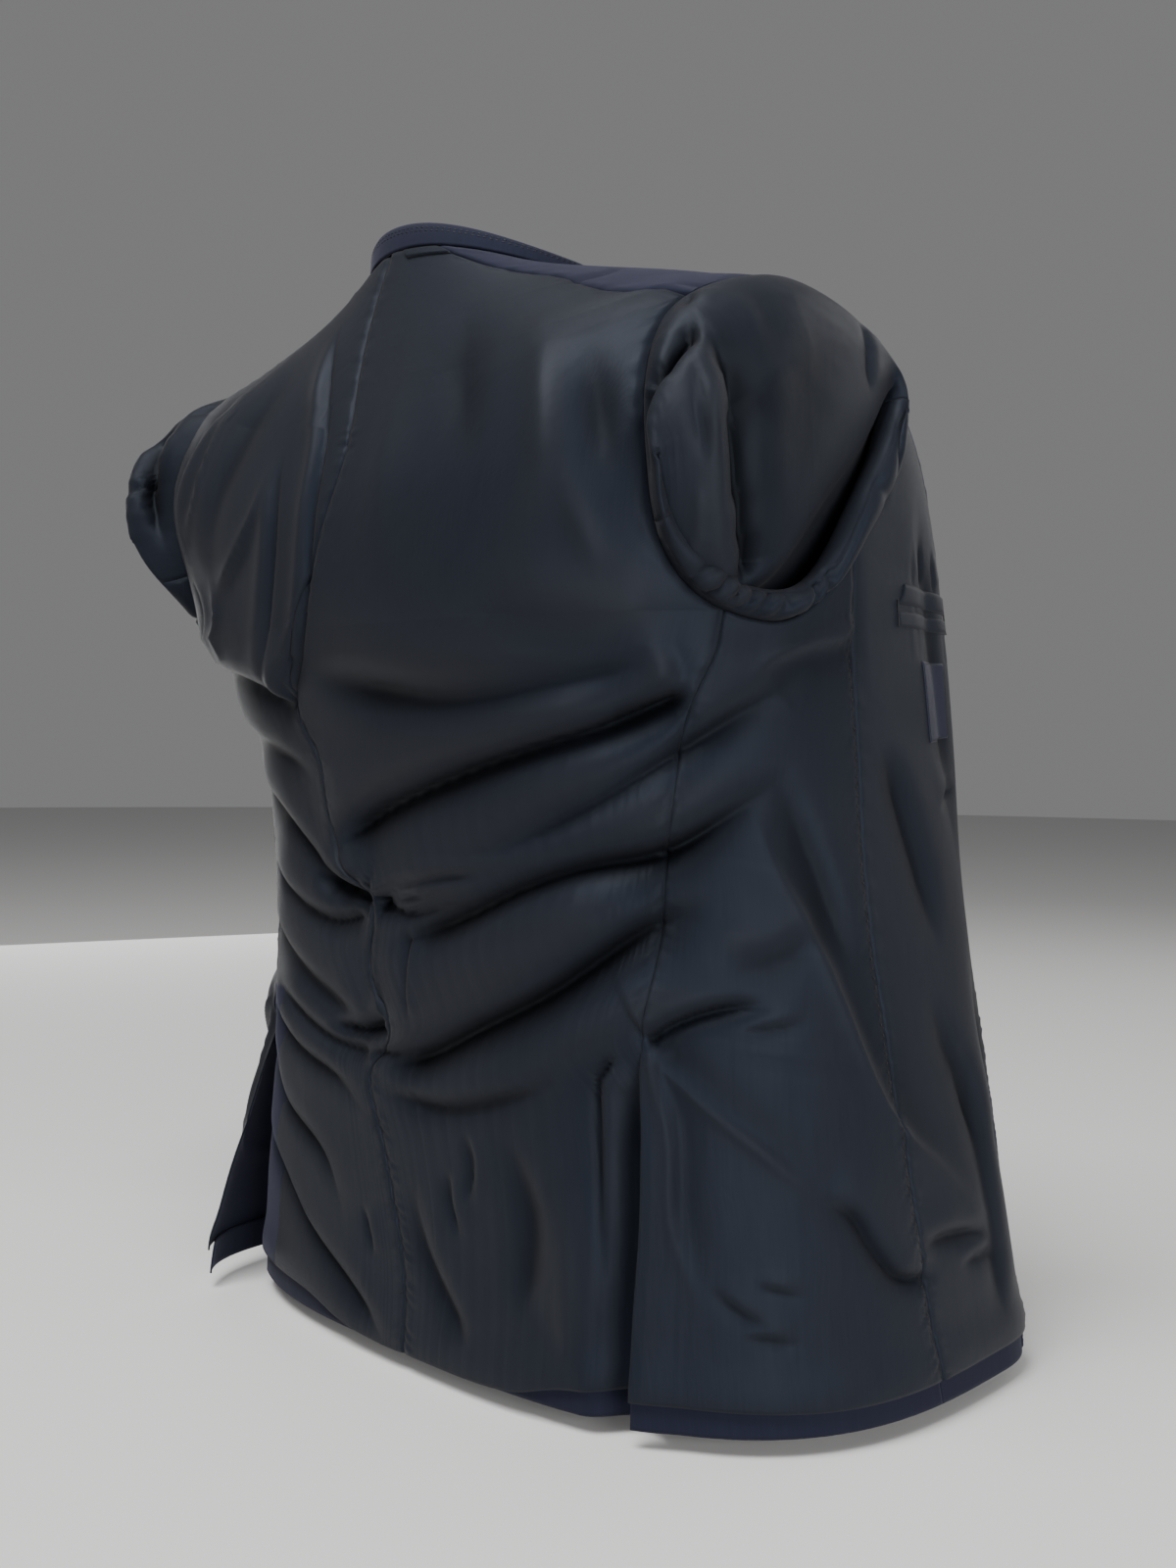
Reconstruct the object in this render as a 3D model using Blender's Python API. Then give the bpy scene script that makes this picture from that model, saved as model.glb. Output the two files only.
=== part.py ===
"""A man's single-breasted blazer, turned inside out and keeping its worn shape.

The lining shows outside and the sleeves hang down inside the body. Metres, +Z up, the front faces -Y
and +X is the wearer's left. The origin is the middle of the neck opening, level with the back neck
seam. A place on the body is a turn in degrees about the vertical (0 at the centre back, positive
towards the wearer's right) and a drop in metres below the back neck seam.
"""

import math
from collections import namedtuple

import bpy
import numpy as np
from mathutils import Vector

# Driving dimensions in metres.
BACK_LENGTH = 0.735  # neck seam to finished hem at the centre back
HEM_BAND = 0.018  # wool that shows below the lining
WALL = 0.002  # lining and wool together
SEAM = 0.0003  # left between neighbouring pieces
COLLAR_HEIGHTS = ((-112, 0.018), (-54, 0.022), (0, 0.017), (60, 0.011), (112, 0.008))  # by turn
COLLAR_FALL = 0.036
COLLAR_END_TURN = 112
BUTTON_WIDTH = 0.021
BUTTON_THICKNESS = 0.0035
BUTTON_RIM = 0.0008
LINING_HEM = BACK_LENGTH - HEM_BAND
RIGHT, LEFT = 1, -1

# Cross-sections of the hanging jacket. A section is a rounded rectangle: side_z and front_z are its
# heights at the sides and the front, right and left its half widths, back and front its reach along Y,
# widest the Y of its greatest width, and square its corner exponent (2 is an ellipse).
Section = namedtuple("Section", "drop side_z front_z right left back widest front square")
SECTIONS = (
    Section(0.000, -0.016, -0.070, 0.088, 0.086, 0.080, 0.000, -0.085, 2.0),
    Section(0.035, -0.021, -0.090, 0.135, 0.138, 0.092, -0.012, -0.115, 2.1),
    Section(0.080, -0.031, -0.115, 0.192, 0.208, 0.108, -0.030, -0.155, 2.5),
    Section(0.125, -0.046, -0.150, 0.238, 0.280, 0.122, -0.045, -0.190, 2.9),
    Section(0.180, -0.115, -0.190, 0.264, 0.322, 0.132, -0.075, -0.222, 3.0),
    Section(0.250, -0.245, -0.250, 0.264, 0.292, 0.126, -0.120, -0.252, 2.8),
    Section(0.330, -0.330, -0.330, 0.264, 0.252, 0.100, -0.140, -0.266, 2.8),
    Section(0.430, -0.430, -0.430, 0.270, 0.246, 0.084, -0.150, -0.272, 2.9),
    Section(0.540, -0.540, -0.540, 0.284, 0.262, 0.076, -0.160, -0.280, 3.0),
    Section(0.640, -0.640, -0.640, 0.297, 0.280, 0.072, -0.172, -0.288, 3.0),
    Section(BACK_LENGTH, -BACK_LENGTH, -BACK_LENGTH, 0.306, 0.294, 0.070, -0.182, -0.296, 3.0),
)

# The drops at which every panel has a row of points, so that neighbours meet point to point.
SHOULDER_DROP = 0.105
YOKE_DROPS = (0.0004, 0.012, 0.026, 0.040, 0.055, 0.072, 0.090, SHOULDER_DROP)
ARMHOLE_DROPS = (0.127, 0.143, 0.160, 0.178, 0.196, 0.214)
SKIRT_DROPS = (
    0.264, 0.286, 0.306, 0.326, 0.348, 0.370, 0.392, 0.412, 0.432, 0.454,
    0.478, 0.505, 0.532, 0.560, 0.590, 0.622, 0.655, 0.688, LINING_HEM,
)

# Seams and edges as (drop, turn) rows. A side's seams take the same sign as the side.
CENTRE_SEAM = (
    (0.000, -8), (0.080, -2), (0.135, 0), (0.200, -4), (0.250, -10), (0.300, -16), (0.340, -13),
    (0.400, -11), (0.432, -5), (0.478, -6), (0.515, -1), (0.550, -7), (0.600, -4), (0.680, 0),
    (BACK_LENGTH, 0),
)
YOKE_EDGE = ((0.000, 20), (0.012, 32), (0.030, 42), (0.050, 50), (0.075, 51), (0.095, 54), (0.112, 62))
UPPER_SIDE_BACK_SEAM = (
    (0.240, 56), (0.264, 54), (0.300, 49), (0.340, 46), (0.390, 43.5), (0.430, 42),
)
SIDE_BACK_SEAMS = {
    RIGHT: (
        *UPPER_SIDE_BACK_SEAM,
        (0.500, 38), (0.560, 37), (0.610, 36), (0.670, 34.5), (BACK_LENGTH, 33.5),
    ),
    LEFT: (
        *UPPER_SIDE_BACK_SEAM,
        (0.500, 40), (0.560, 40), (0.610, 40), (0.670, 39.5), (BACK_LENGTH, 39),
    ),
}
SIDE_FRONT_SEAM = (
    (0.230, 79), (0.264, 76), (0.330, 74), (0.405, 72.5), (0.530, 73.5), (0.640, 73.5), (BACK_LENGTH, 75),
)
FACING_EDGE = (
    (0.125, 97), (0.143, 105), (0.178, 114), (0.230, 121), (0.330, 124), (0.480, 124), (0.600, 121),
    (BACK_LENGTH, 116),
)
FRONT_EDGE = (
    (0.000, 116), (0.040, 124), (0.100, 134), (0.180, 141), (0.280, 145), (0.430, 146), (0.560, 143),
    (0.650, 139), (0.700, 134), (0.722, 129), (BACK_LENGTH, 122),
)

# The armhole is an egg on the body, lowest towards the back, about its middle turn and drop.
ARMHOLE_TURN = 75
ARMHOLE_DROP = 0.180
ARMHOLE_HALF_TURN = 28
ARMHOLE_HALF_DROP = 0.066
ARMHOLE_LEAN = 0.030
ARMHOLE_SQUARE = 0.8

# The largest folds. A fold is a trough (negative depth) or ridge from one place to another, bowed
# sideways at its middle, and it fades out towards both ends. Turns are signed, not mirrored.
Fold = namedtuple("Fold", "turn_a drop_a turn_b drop_b bow half_width depth")
FOLDS = (
    # from the centre back up to the right underarm
    Fold(-12, 0.300, 46, 0.285, 0.012, 0.017, -0.009),
    Fold(-8, 0.330, 40, 0.300, 0.010, 0.014, 0.006),
    Fold(-12, 0.398, 50, 0.292, 0.012, 0.012, -0.010),
    Fold(-6, 0.385, 56, 0.318, 0.010, 0.016, 0.006),
    Fold(-4, 0.446, 44, 0.362, 0.014, 0.014, -0.007),
    Fold(-2, 0.432, 24, 0.412, 0.004, 0.008, -0.006),
    Fold(0, 0.470, 56, 0.385, 0.012, 0.016, 0.006),
    Fold(-4, 0.526, 36, 0.458, 0.006, 0.014, -0.007),
    Fold(4, 0.556, 34, 0.500, 0.006, 0.014, 0.005),
    # from the left underarm to the centre back, the cloth above hanging over it
    Fold(-46, 0.272, -16, 0.305, 0.004, 0.012, -0.010),
    Fold(-48, 0.246, -18, 0.272, 0.004, 0.016, 0.008),
    Fold(-40, 0.360, -10, 0.430, 0.008, 0.013, -0.006),
    Fold(-44, 0.450, -12, 0.480, 0.010, 0.013, -0.005),
    # the long pleat beside the centre back seam
    Fold(-20, 0.020, -8, 0.220, 0.004, 0.007, 0.004),
    # upper back
    Fold(24, 0.070, 18, 0.240, -0.010, 0.014, 0.006),
    Fold(32, 0.130, 40, 0.205, 0.000, 0.016, -0.006),
    # back skirt
    Fold(-34, 0.500, -10, 0.660, 0.012, 0.012, -0.006),
    Fold(-34, 0.590, -4, 0.725, 0.010, 0.013, -0.006),
    Fold(24, 0.540, 26, 0.690, 0.006, 0.012, -0.005),
    # right side panel and front
    Fold(38, 0.505, 60, 0.490, 0.004, 0.010, -0.006),
    Fold(40, 0.515, 68, 0.625, -0.004, 0.013, -0.007),
    Fold(42, 0.530, 46, 0.680, 0.006, 0.010, -0.005),
    Fold(52, 0.335, 84, 0.615, 0.010, 0.014, -0.006),
    Fold(70, 0.480, 96, 0.600, 0.006, 0.012, 0.005),
    Fold(58, 0.625, 82, 0.660, 0.008, 0.011, -0.006),
    Fold(88, 0.325, 96, 0.440, 0.006, 0.013, -0.005),
    Fold(104, 0.180, 108, 0.420, 0.010, 0.018, -0.006),
    Fold(112, 0.440, 120, 0.700, 0.010, 0.018, -0.006),
    # left side panel and front, like the right but shallower
    Fold(-52, 0.330, -86, 0.600, 0.010, 0.015, -0.006),
    Fold(-44, 0.520, -66, 0.640, 0.006, 0.013, -0.006),
    Fold(-84, 0.300, -104, 0.480, 0.008, 0.015, -0.005),
    Fold(-110, 0.200, -116, 0.660, 0.012, 0.020, -0.006),
)
METRES_PER_TURN = 0.0044  # along the body, near enough for measuring a fold's width
CALM_ARMHOLE = 0.35  # the folds fade out over this share of the armhole's size around it
CALM_NECK = 0.05
FOLD_TAPER = 0.7  # lower is a fold that keeps its depth nearer to its ends

LINING_COLOUR = (0.016, 0.019, 0.027)
WOOL_COLOUR = (0.020, 0.021, 0.042)
LABEL_COLOUR = (0.018, 0.020, 0.036)
BUTTON_COLOUR = (0.010, 0.010, 0.016)


def material(name, colour, roughness):
    made = bpy.data.materials.new(name)
    made.use_nodes = True
    shader = made.node_tree.nodes["Principled BSDF"]
    shader.inputs["Base Color"].default_value = (*colour, 1)
    shader.inputs["Roughness"].default_value = roughness
    shader.inputs["Metallic"].default_value = 0
    return made


def curve(rows, x):
    """A smooth curve through rows whose first column is x; it gives the other columns."""
    rows = np.asarray(rows, float)
    knots = rows[:, 0]
    x = min(max(x, knots[0]), knots[-1])
    i = int(min(max(np.searchsorted(knots, x) - 1, 0), len(knots) - 2))
    span = knots[i + 1] - knots[i]
    t = (x - knots[i]) / span

    def slope(j):
        a, b = max(j - 1, 0), min(j + 1, len(knots) - 1)
        return (rows[b, 1:] - rows[a, 1:]) / (knots[b] - knots[a])

    start = rows[i, 1:] * (2 * t**3 - 3 * t**2 + 1) + slope(i) * span * (t**3 - 2 * t**2 + t)
    end = rows[i + 1, 1:] * (3 * t**2 - 2 * t**3) + slope(i + 1) * span * (t**3 - t**2)
    return start + end


def turn_of(rows, drop):
    return float(curve(rows, drop)[0])


def ease(value):
    value = min(max(value, 0.0), 1.0)
    return value * value * (3 - 2 * value)


def mix(a, b, share):
    return a + (b - a) * share


# The body's surface


def form(turn, drop):
    """The point of the smooth body, without folds."""
    at = Section(drop, *curve(SECTIONS, drop))
    angle = math.radians(turn)
    across, along = math.sin(angle), math.cos(angle)
    reach = (abs(across) ** at.square + abs(along) ** at.square) ** (-1 / at.square)
    x = -across * reach * (at.right if across > 0 else at.left)
    y = at.widest + along * reach * (at.back - at.widest if along > 0 else at.widest - at.front)
    end_z = -drop if along > 0 else at.front_z
    return np.array((x, y, mix(end_z, at.side_z, across**2)))


def outward(turn, drop):
    step_turn, step_drop = 0.8, 0.004
    around = form(turn + step_turn, drop) - form(turn - step_turn, drop)
    down = form(turn, drop + step_drop) - form(turn, max(drop - step_drop, 0))
    normal = np.cross(down, around)
    return normal / np.linalg.norm(normal)


def fold_lift(turn, drop, fold):
    start = np.array((fold.turn_a * METRES_PER_TURN, fold.drop_a))
    run = np.array((fold.turn_b * METRES_PER_TURN, fold.drop_b)) - start
    length = math.hypot(*run)
    along = run / length
    across = np.array((-along[1], along[0]))
    offset = np.array((turn * METRES_PER_TURN, drop)) - start
    share = float(offset @ along) / length
    if not 0 < share < 1:
        return 0.0
    aside = float(offset @ across) - fold.bow * math.sin(math.pi * share)
    return fold.depth * math.sin(math.pi * share) ** FOLD_TAPER * math.exp(-((aside / fold.half_width) ** 2))


def armhole_distance(turn, drop):
    """0 at the armhole's edge, growing outside it."""
    across = (abs(turn) - ARMHOLE_TURN) / ARMHOLE_HALF_TURN
    down = (drop - ARMHOLE_DROP) / ARMHOLE_HALF_DROP
    return math.hypot(across, down) - 1


def relief(turn, drop):
    """How far the folds move the cloth out of the smooth form; nothing at the armhole and the neck."""
    calm = ease(armhole_distance(turn, drop) / CALM_ARMHOLE) * ease(drop / CALM_NECK)
    if calm == 0:
        return 0.0
    return calm * sum(fold_lift(turn, drop, fold) for fold in FOLDS)


def place(turn, drop, lift=0.0, folded=1.0):
    raised = lift + (folded * relief(turn, drop) if folded else 0.0)
    return form(turn, drop) + outward(turn, drop) * raised


def armhole(angle, square=ARMHOLE_SQUARE):
    """The (turn, drop) of the right armhole's edge; angle 0 is its front, 90 its lowest part."""
    across, down = math.cos(math.radians(angle)), math.sin(math.radians(angle))
    lean = ARMHOLE_LEAN * across * (1 + down) / 2
    height = math.copysign(abs(down) ** square, down)
    return (
        ARMHOLE_TURN + ARMHOLE_HALF_TURN * across,
        ARMHOLE_DROP + ARMHOLE_HALF_DROP * height - lean,
    )


def armhole_angle(low, high, reached):
    """The angle between low and high at which reached(turn, drop) turns true."""
    for _ in range(40):
        middle = (low + high) / 2
        if reached(*armhole(middle)):
            high = middle
        else:
            low = middle
    return (low + high) / 2


# Armhole angles: where the seams meet it, and the row points down its back and front edges.
YOKE_ANGLE = 247
FACING_ANGLE = 318
BACK_LOWEST_ANGLE = 128
FRONT_LOWEST_ANGLE = 60
SIDE_BACK_ANGLE = armhole_angle(160, 100, lambda turn, drop: turn > turn_of(UPPER_SIDE_BACK_SEAM, drop))
SIDE_FRONT_ANGLE = armhole_angle(90, 40, lambda turn, drop: turn > turn_of(SIDE_FRONT_SEAM, drop))
SIDE_COLUMNS = 6
TOP_STEPS = 5
BACK_ANGLES = [
    armhole_angle(YOKE_ANGLE, BACK_LOWEST_ANGLE, lambda turn, drop, d=d: drop > d) for d in ARMHOLE_DROPS
]
FRONT_ANGLES = [
    armhole_angle(FACING_ANGLE - 360, FRONT_LOWEST_ANGLE, lambda turn, drop, d=d: drop > d)
    for d in ARMHOLE_DROPS
]
BACK_NODES = [armhole(a) for a in (YOKE_ANGLE, *BACK_ANGLES, SIDE_BACK_ANGLE)]
FRONT_NODES = [armhole(a) for a in (FACING_ANGLE, *FRONT_ANGLES[1:], SIDE_FRONT_ANGLE)]
BOTTOM_NODES = [
    armhole(mix(SIDE_BACK_ANGLE, SIDE_FRONT_ANGLE, i / SIDE_COLUMNS)) for i in range(SIDE_COLUMNS + 1)
]
TOP_NODES = [armhole(mix(FACING_ANGLE, YOKE_ANGLE, i / TOP_STEPS)) for i in range(TOP_STEPS + 1)]


# Walls


def wall(name, outer, inner, finish):
    """A solid sheet between two grids of points."""
    rows, columns = len(outer), len(outer[0])
    points = [tuple(p) for row in outer for p in row] + [tuple(p) for row in inner for p in row]
    far = rows * columns
    spans = columns - 1
    faces = []

    def at(i, j):
        return i * columns + j

    for i in range(rows - 1):
        for j in range(spans):
            quad = (at(i, j), at(i + 1, j), at(i + 1, j + 1), at(i, j + 1))
            faces.append(quad)
            faces.append(tuple(far + quad[k] for k in (0, 3, 2, 1)))
    for j in range(spans):
        faces.append((at(0, j), at(0, j + 1), far + at(0, j + 1), far + at(0, j)))
        last = rows - 1
        faces.append((at(last, j + 1), at(last, j), far + at(last, j), far + at(last, j + 1)))
    for i in range(rows - 1):
        faces.append((at(i + 1, 0), at(i, 0), far + at(i, 0), far + at(i + 1, 0)))
        faces.append((at(i + 1, spans), far + at(i + 1, spans), far + at(i, spans), at(i, spans)))
    mesh = bpy.data.meshes.new(name)
    mesh.from_pydata(points, [], faces)
    mesh.update()
    mesh.materials.append(finish)
    mesh.shade_smooth()
    mesh.set_sharp_from_angle(angle=math.radians(50))
    made = bpy.data.objects.new(name, mesh)
    bpy.context.scene.collection.objects.link(made)
    return made


def mix_nodes(a, b, share):
    return (mix(a[0], b[0], share), mix(a[1], b[1], share))


def shifted(node, towards, distance):
    """A (turn, drop) node moved over the surface towards another by a distance in metres."""
    return mix_nodes(node, towards, distance / float(np.linalg.norm(form(*towards) - form(*node))))


LEAST_SLOPE = 0.25  # sine of the smallest angle between a row and an edge that the inset allows for


def inset(nodes, others):
    """Nodes of an edge moved along their rows, so that half a seam's width is left square to the edge."""
    moved = []
    for i, (node, other) in enumerate(zip(nodes, others)):
        edge = form(*nodes[min(i + 1, len(nodes) - 1)]) - form(*nodes[max(i - 1, 0)])
        row = form(*other) - form(*node)
        slope = np.linalg.norm(np.cross(edge, row)) / np.linalg.norm(edge) / np.linalg.norm(row)
        moved.append(shifted(node, other, SEAM / 2 / max(slope, LEAST_SLOPE)))
    return moved


def grid_between(start_nodes, end_nodes, columns, top=None):
    """Rows of (turn, drop) from start to end nodes; top gives the first row's own nodes."""
    rows = zip(inset(start_nodes, end_nodes), inset(end_nodes, start_nodes))
    grid = [[mix_nodes(start, end, j / columns) for j in range(columns + 1)] for start, end in rows]
    if top:
        grid[0] = [grid[0][0], *top[1:-1], grid[0][-1]]
    return grid


def surface(grid, side, lift=0.0, flare=None):
    """The points over a grid of (turn, drop), in the order that faces out; flare adds to the lift."""
    points = [
        [place(side * turn, drop, lift + (flare(turn, drop) if flare else 0.0)) for turn, drop in row]
        for row in grid
    ]
    return points if side == RIGHT else [row[::-1] for row in points]


def panel(name, grid, finish, side=RIGHT, lift=0.0, flare=None):
    outer = surface(grid, side, lift, flare)
    wall(name, outer, surface(grid, side, lift - WALL, flare), finish)
    return outer


def nodes_on(seam, drops):
    return [(turn_of(seam, drop), drop) for drop in drops]


def trimmed_top(nodes):
    """The same nodes with the first one moved a seam's width towards the second."""
    return [shifted(nodes[0], nodes[1], SEAM), *nodes[1:]]


def slanted_nodes(seam, slant):
    """Nodes down a seam whose rows hang lower than the side-back seam's, most at the waist."""
    top, bottom = SKIRT_DROPS[0], SKIRT_DROPS[-1]
    drops = [d + slant * math.sin(math.pi * (d - top) / (bottom - top)) for d in SKIRT_DROPS]
    return nodes_on(seam, drops)


# Vents: below their top the side panel's edge stands out over the back's, which sinks in.
Vent = namedtuple("Vent", "top opening reach side_lift back_lift")  # reach in turns from the seam
VENTS = {
    RIGHT: Vent(0.495, 0.12, 9, 0.003, -0.009),
    LEFT: Vent(0.495, 0.26, 16, 0.044, 0.000),
}


def vent_flare(side, on_side_panel):
    vent = VENTS[side]
    edge_lift = vent.side_lift if on_side_panel else vent.back_lift

    def flare(turn, drop):
        near = 1 - abs(turn - turn_of(SIDE_BACK_SEAMS[side], drop)) / vent.reach
        return edge_lift * ease(near) * ease((drop - vent.top) / vent.opening)

    return flare


# Rows of the panels slant along the folds: this much lower at the centre back and at the side front.
CENTRE_SLANT = 0.075
FORE_SLANT = 0.030
BACK_COLUMNS = {RIGHT: 12, LEFT: 11}
FRONT_COLUMNS = 8
FACING_COLUMNS = 6
POCKET_DROP = 0.243
FACING_NODE = (armhole(FACING_ANGLE)[0] + 2.5, armhole(FACING_ANGLE)[1] + 0.0015)
FACING_DROPS = (*ARMHOLE_DROPS[1:], POCKET_DROP)
SKIRT_FACING_NODES = nodes_on(FACING_EDGE, SKIRT_DROPS)


def back_half(side, name, finish):
    edge = nodes_on(YOKE_EDGE, YOKE_DROPS) + BACK_NODES + nodes_on(SIDE_BACK_SEAMS[side], SKIRT_DROPS)
    centre = [(drop, side * turn) for drop, turn in CENTRE_SEAM]
    upper = edge[: -len(SKIRT_DROPS)]
    middle = nodes_on(centre, [drop for _, drop in upper]) + slanted_nodes(centre, CENTRE_SLANT)
    grid = grid_between(middle, edge, BACK_COLUMNS[side])
    return panel(name, grid, finish, side, flare=vent_flare(side, False))


def side_panel(side, name, finish):
    rear = [armhole(SIDE_BACK_ANGLE), *nodes_on(SIDE_BACK_SEAMS[side], SKIRT_DROPS)]
    fore = [armhole(SIDE_FRONT_ANGLE), *slanted_nodes(SIDE_FRONT_SEAM, FORE_SLANT)]
    grid = grid_between(rear, fore, SIDE_COLUMNS, top=BOTTOM_NODES)
    return panel(name, grid, finish, side, flare=vent_flare(side, True))


def front_lining(side, name, finish):
    rear = trimmed_top(FRONT_NODES) + slanted_nodes(SIDE_FRONT_SEAM, FORE_SLANT)
    fore = trimmed_top([FACING_NODE, *nodes_on(FACING_EDGE, FACING_DROPS)]) + SKIRT_FACING_NODES
    return panel(name, grid_between(rear, fore, FRONT_COLUMNS), finish, side)


def facing(side, name, finish):
    """The wool along the front edge; at the top it runs over the shoulder to the back lining."""
    rear = (
        nodes_on(YOKE_EDGE, YOKE_DROPS)
        + TOP_NODES[::-1]
        + [FACING_NODE]
        + nodes_on(FACING_EDGE, FACING_DROPS)
        + SKIRT_FACING_NODES
        + nodes_on(FACING_EDGE, (BACK_LENGTH,))
    )
    count = len(YOKE_DROPS) + len(TOP_NODES)
    upper = [mix(YOKE_DROPS[0], SHOULDER_DROP, i / count) for i in range(count)]
    lower = [node[1] for node in rear[count:]]
    fore = nodes_on(FRONT_EDGE, [*upper, *lower])
    return panel(name, grid_between(rear, fore, FACING_COLUMNS), finish, side)


def hem_band(name, start_seam, end_seam, columns, finish, side, flare=None):
    drops = (LINING_HEM + SEAM, BACK_LENGTH)
    grid = grid_between(nodes_on(start_seam, drops), nodes_on(end_seam, drops), columns)
    return panel(name, grid, finish, side, flare=flare)


def hem_bands(side, word, finish):
    centre = [(drop, side * turn) for drop, turn in CENTRE_SEAM]
    rear = SIDE_BACK_SEAMS[side]
    on_back, on_side = vent_flare(side, False), vent_flare(side, True)
    hem_band(f"hem_back_{word}", centre, rear, BACK_COLUMNS[side], finish, side, on_back)
    hem_band(f"hem_side_{word}", rear, SIDE_FRONT_SEAM, SIDE_COLUMNS, finish, side, on_side)
    hem_band(f"hem_front_{word}", SIDE_FRONT_SEAM, FACING_EDGE, FRONT_COLUMNS, finish, side)


# Sleeves: from the armhole the cap stands out as a dome and turns in behind the gathered underarm
# roll; then the sleeve hangs down inside the side panel as a flat tube, open at the cuff.
SleeveRow = namedtuple(
    "SleeveRow", "cap_share cap_lift roll_share roll_lift tube_share tube_drop tube_half_turn"
)
SLEEVE_ROWS = (
    SleeveRow(0.10, 0.011, 0.30, 0.007, 0.0, 0.270, 24),
    SleeveRow(0.30, 0.021, 0.66, 0.010, 0.0, 0.270, 24),
    SleeveRow(0.55, 0.026, 0.95, 0.006, 0.0, 0.270, 24),
    SleeveRow(0.80, 0.024, 1.05, 0.000, 0.0, 0.270, 24),
    SleeveRow(0.96, 0.016, 0.95, -0.007, 0.0, 0.270, 24),
    SleeveRow(1.00, 0.004, 0.60, -0.011, 0.0, 0.270, 24),
    SleeveRow(0.97, -0.008, 0.15, -0.014, 0.1, 0.270, 24),
    SleeveRow(0.88, -0.020, 0.00, -0.015, 0.6, 0.270, 24),
    SleeveRow(0.80, -0.020, 0.00, -0.015, 1.0, 0.300, 22),
    SleeveRow(0.80, -0.020, 0.00, -0.014, 1.0, 0.380, 20),
    SleeveRow(0.80, -0.020, 0.00, -0.014, 1.0, 0.480, 18),
    SleeveRow(0.80, -0.020, 0.00, -0.014, 1.0, 0.580, 16),
    SleeveRow(0.80, -0.020, 0.00, -0.014, 1.0, 0.680, 14.5),
)
MOUTH_CAP_INSET = 0.74
CAP_POINT = 1.5  # makes the cap's lower edge more pointed than the armhole
MOUTH_ROLL_INSET = 0.80
MOUTH_SAG = 0.012
CAP_SWELL = {RIGHT: 1.0, LEFT: 1.4}
# The cap stands out less towards the front of its top.
FLAT_ANGLE = 330
FLAT_SHARE = 0.55
TUBE_CLEARANCE = 0.020
TUBE_THICKNESS = 0.034
RELAX_PASSES = 5
RELAXED_ROWS = slice(3, 10)
# Upright folds at the back of the cap: (turn, half width in turns, depth).
CAP_FOLDS = ((53, 3.0, -0.016), (60, 3.5, 0.004), (67, 3.0, -0.013), (90, 8.0, 0.003))
CAP_FOLD_RISE = 0.4  # cap share over which the upright folds reach their depth
ROLL_GATHERS = 18  # were they to run on round the whole ring
ROLL_GATHER_DEPTH = 0.0022
# The cap turns into the roll between these sines of the ring's angle.
UNDER_START = -0.1
UNDER_SPAN = 0.55
# A sleeve is an upper and an under panel, joined down the forearm and the hindarm.
FOREARM_ANGLE = 12
HINDARM_ANGLE = 168
SLEEVE_SEAM = 0.7 * SEAM  # that each panel leaves at the two seams


def sleeve_ring_angles():
    """Every armhole node's angle once, from the side-back seam round by the back and the top."""
    top = [mix(YOKE_ANGLE, FACING_ANGLE, i / TOP_STEPS) for i in range(TOP_STEPS + 1)]
    front = [angle % 360 for angle in FRONT_ANGLES[1:]]
    bottom = [mix(SIDE_FRONT_ANGLE, SIDE_BACK_ANGLE, i / SIDE_COLUMNS) for i in range(SIDE_COLUMNS + 1)]
    return BACK_ANGLES[::-1] + top + front + bottom


def mouth_edge(angle, share, square=ARMHOLE_SQUARE):
    return mix_nodes((ARMHOLE_TURN, ARMHOLE_DROP + MOUTH_SAG), armhole(angle, square), share)


def cap_point(angle, row, swell):
    """The (turn, drop, lift) of the cap, which runs down over the armhole's upper part."""
    mirrored = 360 - angle if angle > 180 else angle
    turn, drop = mix_nodes(armhole(angle), mouth_edge(mirrored, MOUTH_CAP_INSET, CAP_POINT), row.cap_share)
    if row.cap_lift <= 0:
        return np.array((turn, drop, row.cap_lift))
    flat = FLAT_SHARE * max(math.cos(math.radians(angle - FLAT_ANGLE)), 0)
    fold = sum(depth * math.exp(-(((turn - at) / width) ** 2)) for at, width, depth in CAP_FOLDS)
    return np.array((turn, drop, row.cap_lift * swell * (1 - flat) + fold * ease(row.cap_share / CAP_FOLD_RISE)))


def roll_point(angle, row):
    """The (turn, drop, lift) of the gathered roll below the armhole."""
    turn, drop = mix_nodes(armhole(angle), mouth_edge(angle, MOUTH_ROLL_INSET), row.roll_share)
    gather = math.cos(math.radians(angle) * ROLL_GATHERS) if row.roll_lift > 0 else 0
    return np.array((turn, drop, row.roll_lift + ROLL_GATHER_DEPTH * gather))


def tube_point(angle, row):
    """The (turn, drop, lift) of the sleeve inside the body."""
    radians = math.radians(angle)
    lift = -TUBE_CLEARANCE - TUBE_THICKNESS * (1 - math.sin(radians)) / 2
    return np.array((ARMHOLE_TURN + row.tube_half_turn * math.cos(radians), row.tube_drop, lift))


def sleeve_point(angle, row, side):
    under = ease((math.sin(math.radians(angle)) - UNDER_START) / UNDER_SPAN)
    mouth = mix(cap_point(angle, row, CAP_SWELL[side]), roll_point(angle, row), under)
    turn, drop, lift = mix(mouth, tube_point(angle, row), row.tube_share)
    return place(side * turn, drop, lift, folded=0)


def normals_of(grid, closed):
    """Unit normals of a grid of points; a closed one runs round its rows."""
    points = np.array(grid)
    if closed:
        padded = np.concatenate((points[:, -1:], points, points[:, :1]), axis=1)
        around = padded[:, 2:] - padded[:, :-2]
    else:
        around = np.gradient(points, axis=1)
    normals = np.cross(np.gradient(points, axis=0), around)
    return normals / np.linalg.norm(normals, axis=2, keepdims=True)


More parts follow.
